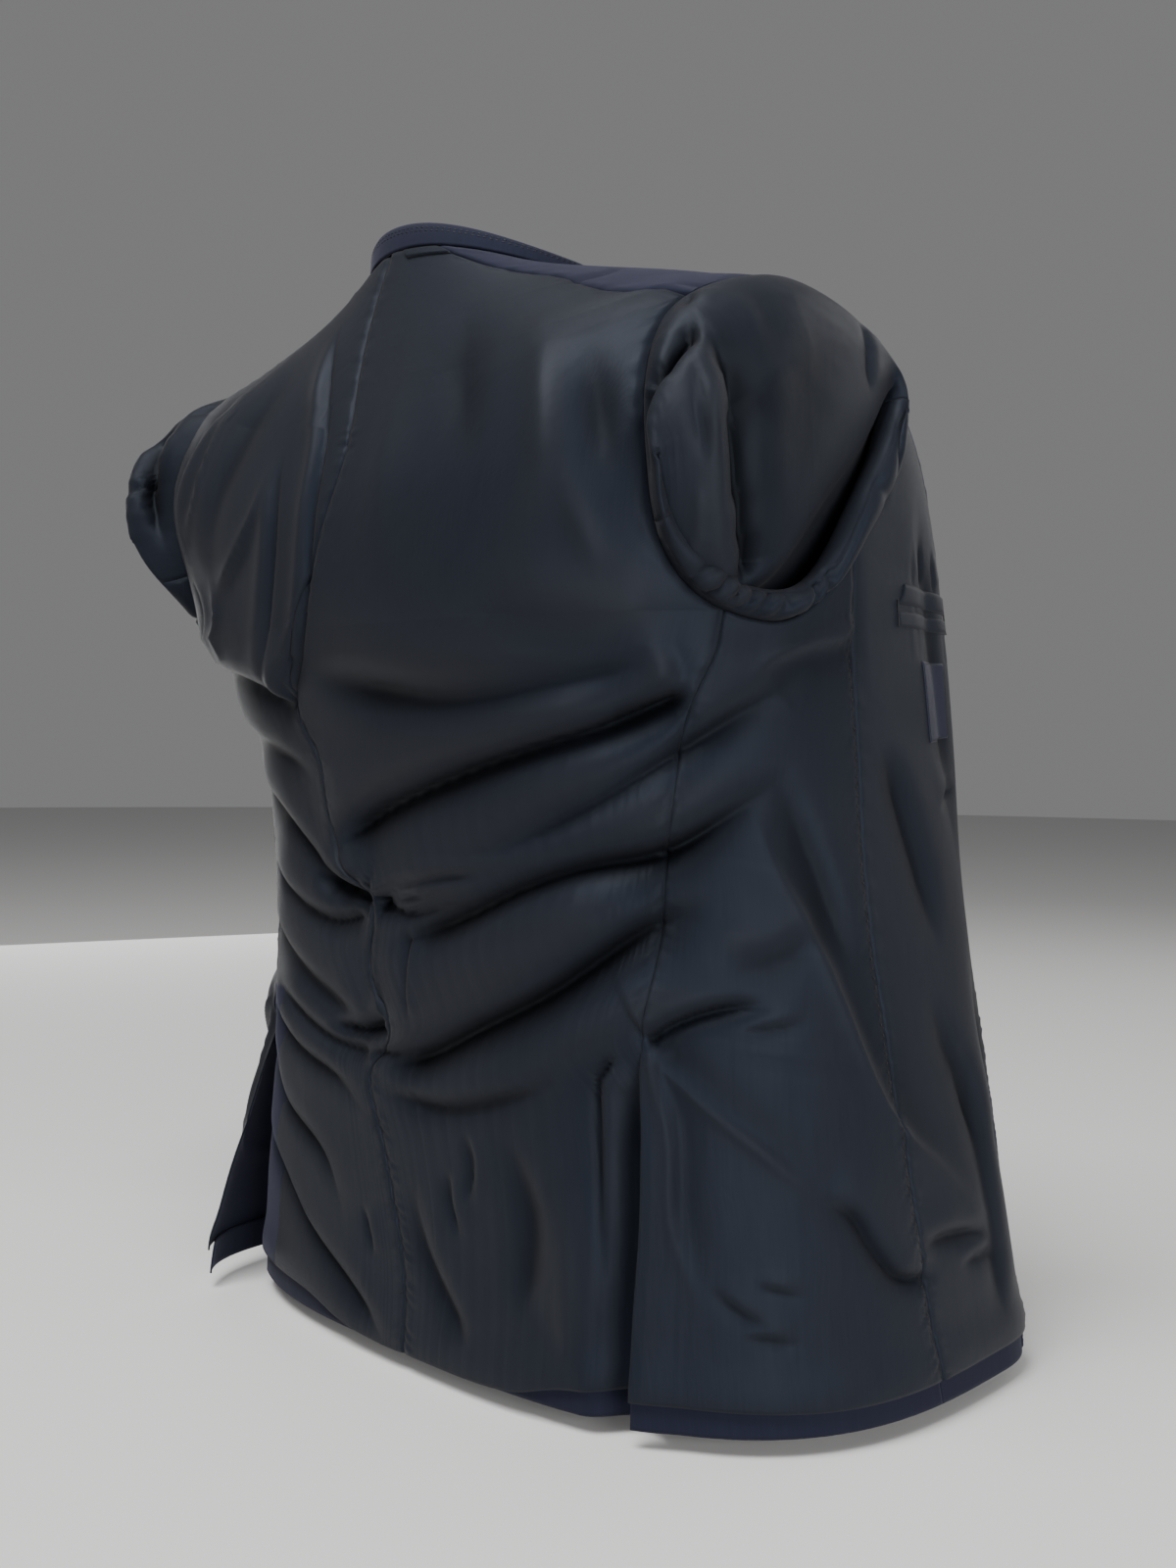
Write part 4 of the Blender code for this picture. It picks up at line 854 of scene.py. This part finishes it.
def sleeve_form(side):
    """The sleeve's smooth form, as rows of a ring that starts and ends at the forearm seam."""
    angles = FOREARM_ANGLE + np.linspace(0, 360, RING_COLUMNS + 1)
    if side == LEFT:
        angles = angles[::-1]
    stops, rows = between(SLEEVE_ROWS, RING_STEPS)
    cap_share, cap_lift, roll_share, roll_lift, tube_share, tube_drop, tube_half = rows.T[..., None]
    radians = np.radians(angles)[None]
    turned = angles % 360
    mirrored = np.where(turned > 180, 360 - turned, turned)
    edge = armhole(angles)[None]
    lip = mouth_edge(mirrored, CAP_INSETS, CAP_POINT, CAP_TIP_TURN)[None]
    cap = edge + (lip - edge) * cap_share[..., None]
    flat = FLAT_SHARE * np.maximum(np.cos(radians - math.radians(FLAT_ANGLE)), 0)
    lift = np.where(cap_lift <= 0, cap_lift, cap_lift * CAP_SWELL[side] * (1 - flat))
    cap = np.concatenate((cap, lift[..., None]), axis=-1)
    roll = edge + (mouth_edge(angles, ROLL_INSETS)[None] - edge) * roll_share[..., None]
    pleat = 0
    for at, width, depth in ROLL_PLEATS:
        pleat = pleat - depth * np.exp(-np.abs((turned - at) / width) ** PLEAT_SHARP)
    plump = (ROLL_PLUMP + pleat)[None] * ease(roll_lift / PLUMP_LIFT) * ease(roll_share / PLUMP_SHARE)
    roll = np.concatenate((roll, (roll_lift + plump)[..., None]), axis=-1)
    tube = np.stack(
        (
            ARMHOLE_TURN + tube_half * np.cos(radians),
            tube_drop + 0 * radians,
            -TUBE_CLEARANCE - TUBE_THICKNESS * (1 - np.sin(radians)) / 2 + 0 * tube_half,
        ),
        axis=-1,
    )
    under = ease((np.sin(radians) - UNDER_FROM) / UNDER_RUN)[..., None]
    whole = mixed(mixed(cap, roll, under), tube, tube_share[..., None])
    turn, drop = side * whole[..., 0], whole[..., 1]
    points = form(turn, drop) + outward(turn, drop) * whole[..., 2:]
    free = slice(RELAX_FROM * RING_STEPS, RELAX_TO * RING_STEPS)
    for _ in range(RELAX_PASSES):
        ring = points[:, :-1]
        around = (np.roll(ring, 1, axis=1) + np.roll(ring, -1, axis=1)) / 2
        down = ring.copy()
        down[1:-1] = (ring[:-2] + ring[2:]) / 2
        points[free, :-1] = ((2 * ring + around + down) / 4)[free]
        points[:, -1] = points[:, 0]
    return angles, stops, points


# Creases on the sleeve's head and mouth, along paths of (angle, row) on the ring.
HEAD_CREASES = crease_table(1, (
    # the valley beside the armhole seam, and the far side of the fold next to it
    (-18, 5.5, 5, 12, 1, 0.3, 0.45, (
        (239, 1.1), (231, 1.5), (222, 1.6), (210, 1.4), (200, 1.15), (190, 0.95), (178, 0.75),
    )),
    (-13, 10, 9, 13, 1.1, 0.05, 0.4, (
        (244, 5.4), (241, 4.1), (239, 3.4), (241, 2.8), (240, 2), (241, 1.2),
    )),
    (-4, 20, 0, 10, 1.6, 0.3, 0.4, ((247, 3.6), (247, 2.6), (246, 1.6), (245, 1))),
    # the hindarm seam on that fold, and small folds at its top
    (2.2, 2.2, 0, 10, 1.2, 0.2, 0.3, ((222, 3.5), (221, 4.4), (220, 5.6), (220, 6.4))),
    (-4, 4, 3, 7, 1.1, 0.3, 0.4, ((229, 1.9), (226, 2.6), (224, 3.4))),
    (-3.5, 3, 2, 6, 1.1, 0.3, 0.4, ((248, 0.3), (243, 0.6), (238, 0.9))),
    # the crown, whose broad shallow trough mostly darkens it through the painted trough shade
    (-4, 30, 0, 10, 1.8, 0.5, 0.5, ((285, 0.6), (282, 1.8), (272, 3), (262, 4.2), (255, 5.2))),
    (-2, 12, 0, 10, 1.8, 0.4, 0.5, ((262, 0.6), (262, 1.8), (258, 2.9))),
    (1.2, 6, 0, 10, 1.3, 0.4, 0.5, ((258, 1.3), (257, 1.9), (255, 2.5))),
    # the front of the mouth
    (-3, 4, 2, 8, 1.1, 0.5, 0.3, ((330, 1.2), (322, 1.9), (316, 2.7), (312, 3.5), (311, 4.2))),
    (-4, 3.5, 3, 8, 1, 0.3, 0.4, ((2, 2.6), (10, 2.6), (19, 2.6), (30, 2.4), (46, 1.8), (62, 0.8))),
))

NEAR_ROWS = 1.5
# Rows over which the creases, and then the ridges among them, grow from the armhole seam.
CREASES_FROM, CREASES_RUN, RIDGES_FROM, RIDGES_RUN = 0.12, 0.4, 0.35, 0.8


def sleeve_points(side):
    angles, stops, points = sleeve_form(side)
    normals = normals_of(points)
    lift = np.zeros(points.shape[:2])
    ring = angles if side == RIGHT else angles[::-1]
    for crease in HEAD_CREASES:
        path = between(crease.path, PATH_STEPS)[1][::side]
        at = np.interp((path[:, 0] - FOREARM_ANGLE) % 360 + FOREARM_ANGLE, ring, np.arange(len(ring)))
        at = at if side == RIGHT else len(ring) - 1 - at
        j, i = np.round(at).astype(int), np.round(path[:, 1] * RING_STEPS).astype(int)
        among = (stops > path[:, 1].min() - NEAR_ROWS) & (stops < path[:, 1].max() + NEAR_ROWS)
        crease = crease._replace(fades=crease.fades[::side])
        lift += crease_lift(points, crease, points[i, j], normals[i, j], among[:, None])
    lift *= ease((stops - CREASES_FROM) / CREASES_RUN)[:, None]
    lift = np.where(lift > 0, lift * ease((stops - RIDGES_FROM) / RIDGES_RUN)[:, None], lift)
    beside = lift[:-2, 1:-1] + lift[2:, 1:-1] + lift[1:-1, :-2] + lift[1:-1, 2:]
    lift[1:-1, 1:-1] = (4 * lift[1:-1, 1:-1] + beside) / 8
    return angles, points + normals * lift[..., None], lift


for side, word in SIDES:
    angles, points, folds = sleeve_points(side)
    hind = int(np.argmin(np.abs(angles - HINDARM_ANGLE)))
    low, high = slice(None, hind + 1), slice(hind, None)
    under, upper = (low, high) if side == RIGHT else (high, low)
    for half, columns, flat_width, area in (("upper", upper, 0.26, 0.120), ("under", under, 0.20, 0.095)):
        name = f"sleeve_{half}_{word}_lining"
        piece = cloth(name, points[:, columns], (LINING, WOOL), SLEEVE_WALL, fold=folds[:, columns])
        hung(f"sleeve_{half}_{word}")

# ------------------------------
# Collar: a wool stand round the neck whose fall turns down inside, as the blazer is inside out. Two
# rows of stitches run along the tape at its foot.
COLLAR_HEIGHTS = ((-112, 0.018), (-54, 0.022), (0, 0.017), (60, 0.011), (112, 0.008))
COLLAR_FALL, COLLAR_END_TURN, COLLAR_GAP = 0.036, 112, 0.0010
CollarRow = namedtuple("CollarRow", "inward height_share fall_share")
COLLAR_PROFILE = (
    CollarRow(0.0000, 0.00, 0.0),
    CollarRow(0.0008, 0.50, 0.0),
    CollarRow(0.0020, 0.85, 0.0),
    CollarRow(0.0048, 1.00, 0.0),
    CollarRow(0.0076, 0.85, 0.0),
    CollarRow(0.0092, 1.00, 0.4),
    CollarRow(0.0102, 1.00, 0.7),
    CollarRow(0.0112, 1.00, 1.0),
)
COLLAR_COLUMNS, COLLAR_STEPS = 160, 5


def collar_points(turns, inward, height_share, fall_share=0.0):
    """Points on the collar above the neck seam, and the level directions out from it there."""
    base = form(turns, 0)
    out = base * (1, 1, 0) / np.hypot(base[:, 0], base[:, 1])[:, None]
    rise = COLLAR_GAP + height_share * read(COLLAR_HEIGHTS, turns) - fall_share * COLLAR_FALL
    return base - out * np.expand_dims(inward, -1) + rise[..., None] * (0, 0, 1), out


profile = between(COLLAR_PROFILE, COLLAR_STEPS)[1][::-1]
turns = np.linspace(-COLLAR_END_TURN, COLLAR_END_TURN, COLLAR_COLUMNS + 1)
points, _ = collar_points(turns, *profile.T[..., None])
collar = cloth("collar_band", points, (WOOL, WOOL), WOOL_WALL)
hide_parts("collar")

# ------------------------------
# Inner pocket: a slit in the right front's lining with a folded welt of lining along each lip, small
# gathers round it and a bar of stitches across each end.
PATCH_GAP, WELT_WALL, LABEL_WALL, LOOP_WALL = 0.0005, 0.0007, 0.0006, 0.0014
PatchEdge = namedtuple("PatchEdge", "near_turn near_drop far_turn far_drop")


def patch(name, edges, rows, columns, finish, thickness, swell=0.0):
    """A piece between two edges on the body, over the cloth below it, its edges sewn into that cloth."""
    across = np.linspace(0, 1, columns + 1)[None, :, None]
    down = np.linspace(0, 1, rows + 1)[:, None, None]
    top, bottom = (mixed(np.array(edge[:2]), np.array(edge[2:]), across) for edge in edges)
    turn, drop = np.moveaxis(mixed(top, bottom, down), -1, 0)
    inside = np.ones(turn.shape)
    inside[[0, -1], :] = inside[:, [0, -1]] = 0
    lift = (PATCH_GAP + thickness) * inside + creased(turn, drop) + swell * np.sin(np.pi * down[..., 0])
    points = form(turn, drop) + outward(turn, drop) * lift[..., None]
    return cloth(name, points, (finish, finish), thickness)


WELTS = (
    ("upper", PatchEdge(91.3, 0.2340, 117.7, 0.2340), PatchEdge(88.0, 0.2420, 117.9, 0.2420)),
    ("lower", PatchEdge(87.6, 0.2440, 117.9, 0.2440), PatchEdge(87.3, 0.2510, 118.1, 0.2510)),
)
WELT_SWELL, LOOP_SWELL = 0.0002, 0.0004
for word, *edges in WELTS:
    welt = patch(f"pocket_welt_{word}_piece", edges, 8, 60, LINING, WELT_WALL, WELT_SWELL)
    hung(f"pocket_welt_{word}")

# ------------------------------
# Label: a bare woven satin tab below the pocket, with its hems turned under. It is sewn to the lining
# all round.
# Its lighter colour at grazing angles is a painted sheen.
LABEL = cloth_material(
    "label_satin", (0.008, 0.009, 0.017), (0.014, 0.015, 0.027), (0.020, 0.020, 0.030),
    (0.016, 0.016, 0.026), pitch=0.0004, streaks=0.4, rumple=0.0003, roughness=0.45,
    specular=0.30, sheen=0.05, tint=(0.6, 0.6, 0.7), bump=0.4,
)
LABEL_EDGES = (PatchEdge(96.4, 0.2665, 112.2, 0.2665), PatchEdge(95.9, 0.3200, 112.6, 0.3160))
label = patch("label_tab", LABEL_EDGES, 40, 44, LABEL, LABEL_WALL)
hung("label")

# ------------------------------
# Hanger loop: a flat strip of folded lining along the back neck, just below the collar. It is sewn
# down at its two ends.
LOOP_EDGES = (PatchEdge(2.9, 0.0010, 20.3, 0.0010), PatchEdge(5.7, 0.0076, 26.8, 0.0076))
loop = patch("hanger_loop_strip", LOOP_EDGES, 8, 40, LINING, LOOP_WALL, LOOP_SWELL)
hung("hanger_loop")

# ------------------------------
# Stitches: short prick stitches of dark thread along the collar's tape, the side-front seams and the
# label, and close together as bars at the pocket and the loop. Each is a bead half sunk in the cloth.
THREAD, tree, shader = new_material("thread")
fill(tree, shader, {"Base Color": (0.0025, 0.0025, 0.0040, 1), "Roughness": 0.6})
StitchRow = namedtuple("StitchRow", "pitch length width lift path")
# A bead's rings: how far along it each lies, and its width, as shares.
BEAD, BEAD_SIDES = ((-1.0, 0.25), (-0.6, 0.85), (0.6, 0.85), (1.0, 0.25)), 6


def stitch_row(name, row, side, line=None):
    """One row of stitches, along a path of (turn, drop) or along given points with their directions out."""
    if line is None:
        turn, drop = between(row.path, PATH_STEPS)[1].T
        turn = side * turn
        up = outward(turn, drop)
        line = form(turn, drop) + up * (row.lift + creased(turn, drop))[:, None], up
    points, up = line
    gone = arc_along(points, 0)

    def at(distance, values):
        return np.array([np.interp(distance, gone, values[:, k]) for k in range(3)])

    verts, faces = [], []
    for centre in np.arange(row.pitch / 2, gone[-1], row.pitch):
        start, middle, end = (at(centre + step * row.length / 2, points) for step in (-1, 0, 1))
        lead = (end - start) / np.linalg.norm(end - start)
        rise = at(centre, up)
        aside = np.cross(rise, lead)
        first = len(verts)
        for share, size in BEAD:
            for angle in np.arange(BEAD_SIDES) * 2 * math.pi / BEAD_SIDES:
                out = aside * math.cos(angle) + rise * math.sin(angle)
                verts.append(tuple(middle + lead * share * row.length / 2 + out * size * row.width / 2))
        last = len(verts) - BEAD_SIDES
        for ring in range(first, last, BEAD_SIDES):
            for turned in range(BEAD_SIDES):
                a, b = ring + turned, ring + (turned + 1) % BEAD_SIDES
                faces.append((a, b, b + BEAD_SIDES, a + BEAD_SIDES))
        faces.append([first + turned for turned in reversed(range(BEAD_SIDES))])
        faces.append([last + turned for turned in range(BEAD_SIDES)])
    mesh_piece(name, verts, faces, (THREAD,))


def beside(seam, first, last, shift, count=24):
    """A path of so many points that runs shift degrees from a seam."""
    drops = np.linspace(first, last, count)
    return tuple(zip(read(seam, drops) + shift, drops))


COLLAR_ROW = StitchRow(0.0042, 0.0024, 0.0006, 0.0, ())
TAPE_TURNS, TAPE_SHARES = np.linspace(-108, 108, 240), (0.62, 0.76)
for number, share in enumerate(TAPE_SHARES, 1):
    inward = read([(row.height_share, row.inward) for row in COLLAR_PROFILE[:4]], share)
    line = collar_points(TAPE_TURNS, inward, share)
    stitch_row(f"collar_stitches_{number}", COLLAR_ROW, RIGHT, line)

for side, word in SIDES:
    row = StitchRow(0.0060, 0.0018, 0.0007, 0.0001, beside(SIDE_FRONT_SEAM, 0.245, 0.712, -0.7))
    stitch_row(f"front_seam_stitches_{word}", row, side)

for name, path in (
    ("pocket_bar_back", ((88.2, 0.2400), (87.5, 0.2510))),
    ("pocket_bar_front", ((117.6, 0.2345), (117.8, 0.2510))),
    ("loop_bar_left", ((4.0, 0.0012), (6.6, 0.0072))),
    ("loop_bar_right", ((19.0, 0.0012), (25.4, 0.0072))),
):
    stitch_row(name, StitchRow(0.0009, 0.0009, 0.0014, 0.0009, path), RIGHT)
for number, path in enumerate((
    ((96.8, 0.2678), (111.8, 0.2678)), ((111.9, 0.2680), (112.2, 0.3145)),
    ((112.0, 0.3148), (96.3, 0.3186)), ((96.2, 0.3180), (96.7, 0.2680)),
), 1):
    stitch_row(f"label_stitches_{number}", StitchRow(0.0024, 0.0014, 0.0005, 0.0013, path), RIGHT)

# ------------------------------
# Front buttons: flat horn-like buttons with a rim and four holes, sewn on the wool side of the left
# front with crossed thread.
HORN, tree, shader = new_material("button_horn")
place = add_node(tree, "TexCoord", {})["Object"]
marble = add_node(tree, "TexNoise", {"Vector": place, "Scale": 160, "Detail": 4})[0]
tones = {0: marble, 6: (0.004, 0.004, 0.007, 1), 7: (0.018, 0.017, 0.026, 1)}
tones = add_node(tree, "Mix", tones, data_type="RGBA")[2]
fill(tree, shader, {"Base Color": tones, "Roughness": 0.32})
BUTTON_WIDTH, BUTTON_THICKNESS, BUTTON_EDGE = 0.021, 0.0035, 0.0005
BUTTON_RIM, BUTTON_WELL_SLOPE, BUTTON_WELL = 0.0022, 0.0008, 0.0009
BUTTON_HOLE, BUTTON_HOLE_OUT = 0.0009, 0.0019
THREAD_HALF, THREAD_SUNK = 0.0005, 0.0006
FACES_UP, SMOOTH_ANGLE = 0.9, math.radians(35)
BUTTON_DROPS, BUTTON_INSET = (0.430, 0.535), 5.0


def cylinder(vertices, radius, depth, place=(0, 0, 0)):
    bpy.ops.mesh.primitive_cylinder_add(vertices=vertices, radius=radius, depth=depth, location=place)
    return bpy.context.object


for number, drop in enumerate(BUTTON_DROPS, 1):
    button = cylinder(64, BUTTON_WIDTH / 2, BUTTON_THICKNESS)
    button.name = f"front_button_{number}_horn"
    bpy.ops.object.mode_set(mode="EDIT")
    bpy.ops.mesh.select_mode(type="FACE")
    bpy.ops.mesh.select_all(action="DESELECT")
    bpy.ops.object.mode_set(mode="OBJECT")
    for face in button.data.polygons:
        face.select = face.normal.z > FACES_UP
    bpy.ops.object.mode_set(mode="EDIT")
    bpy.ops.mesh.inset(thickness=BUTTON_RIM)
    bpy.ops.mesh.inset(thickness=BUTTON_WELL_SLOPE, depth=-BUTTON_WELL)
    bpy.ops.object.mode_set(mode="OBJECT")
    for quarter in range(4):
        angle = math.radians(45 + 90 * quarter)
        hole = (BUTTON_HOLE_OUT * math.cos(angle), BUTTON_HOLE_OUT * math.sin(angle), 0)
        drill = cylinder(20, BUTTON_HOLE, 4 * BUTTON_THICKNESS, hole)
        bpy.ops.object.select_all(action="DESELECT")
        button.select_set(True)
        bpy.context.view_layer.objects.active = button
        bore = button.modifiers.new("Hole", "BOOLEAN")
        bore.operation, bore.object, bore.solver = "DIFFERENCE", drill, "EXACT"
        bpy.ops.object.modifier_apply(modifier=bore.name)
        bpy.data.objects.remove(drill)
    soften = button.modifiers.new("Rim", "BEVEL")
    soften.width, soften.segments, soften.limit_method = BUTTON_EDGE, 3, "ANGLE"
    button.data.materials.clear()
    button.data.materials.append(HORN)
    bpy.ops.object.shade_smooth_by_angle(angle=SMOOTH_ANGLE)
    low_corner, high_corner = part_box(f"front_button_{number}")
    turn = -(read(FRONT_EDGE, drop) - BUTTON_INSET)
    facing_in = Vector(-outward(np.array(turn), np.array(drop))).to_track_quat("Z", "Y").to_matrix().to_4x4()
    seat = Matrix.Translation((low_corner + high_corner) / 2) @ facing_in
    for quarter in (0, 1):
        strand = cylinder(10, THREAD_HALF, 2 * BUTTON_HOLE_OUT)
        strand.name = f"front_button_{number}_thread_{quarter + 1}"
        crossed = Matrix.Rotation(math.radians(45 + 90 * quarter), 4, "Z")
        raised = Matrix.Translation((0, 0, BUTTON_THICKNESS / 2 - THREAD_SUNK))
        strand.data.transform(seat @ raised @ crossed @ Matrix.Rotation(math.radians(90), 4, "X"))
        strand.data.materials.append(THREAD)
        bpy.ops.object.shade_smooth()
        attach(strand, "root")
    button.data.transform(seat)
    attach(button, "root")
    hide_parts(f"front_button_{number}")
    bpy.ops.object.select_all(action="DESELECT")

# ------------------------------
# Floor and light: a plain pale floor just below the hem, a wide soft key high up behind the back, and
# weaker fills from the left, the right and the front.
FLOOR_GAP = 0.012
bpy.ops.mesh.primitive_circle_add(vertices=96, radius=9, fill_type="NGON", location=(0, 0, 0))
floor = bpy.context.object
floor.name = "floor"
floor.data.transform(Matrix.Translation((0, 0, cad_low.z - FLOOR_GAP)))
PAPER, tree, shader = new_material("floor_paper")
fill(tree, shader, {"Base Color": (0.62, 0.61, 0.60, 1), "Roughness": 0.9})
floor.data.materials.append(PAPER)
floor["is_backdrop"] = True

world = bpy.data.worlds.new("studio")
bpy.context.scene.world = world
world.use_nodes = True
sky = world.node_tree.nodes["Background"]
fill(world.node_tree, sky, {"Color": (0.80, 0.80, 0.81, 1), "Strength": 0.25})


def softbox(name, place, aim, size, power):
    lamp = bpy.data.lights.new(name, "AREA")
    lamp.shape = "RECTANGLE"
    lamp.size, lamp.size_y = size
    lamp.energy = power
    made = bpy.data.objects.new(name, lamp)
    made.location = place
    made.rotation_euler = (Vector(aim) - Vector(place)).to_track_quat("-Z", "Y").to_euler()
    bpy.context.scene.collection.objects.link(made)


softbox("key", (-0.3, 1.25, 1.95), (0, 0, -0.35), (1.3, 1.3), 128)
softbox("left_fill", (2.1, -0.9, -0.1), (0, -0.1, -0.40), (1.4, 1.6), 16)
softbox("right_fill", (-2.1, 0.7, -0.45), (0, 0, -0.40), (1.2, 1.4), 64)
softbox("front_fill", (-0.6, -2.2, 0.8), (0, 0, -0.4), (1.6, 1.6), 12)

# Camera: behind and to the right of the blazer, at waist height.
CAMERA_PLACE = Vector((-0.8039, 0.7535, -0.3221))
HEADING, PITCH, ROLL = (math.radians(a) for a in (43.1, 1.5, 0.6))
ahead = Vector((math.sin(HEADING) * math.cos(PITCH), -math.cos(HEADING) * math.cos(PITCH), -math.sin(PITCH)))
right = ahead.cross(Vector((0, 0, 1))).normalized()
up = right.cross(ahead)
right, up = right * math.cos(ROLL) + up * math.sin(ROLL), up * math.cos(ROLL) - right * math.sin(ROLL)
lens = bpy.data.cameras.new("camera")
lens.sensor_width = 36
lens.lens = 36.05
lens.clip_start = 0.02
camera = bpy.data.objects.new("camera", lens)
camera.matrix_world = Matrix.Translation(CAMERA_PLACE) @ Matrix((right, up, -ahead)).transposed().to_4x4()
bpy.context.scene.collection.objects.link(camera)
bpy.context.scene.camera = camera

low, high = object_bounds()
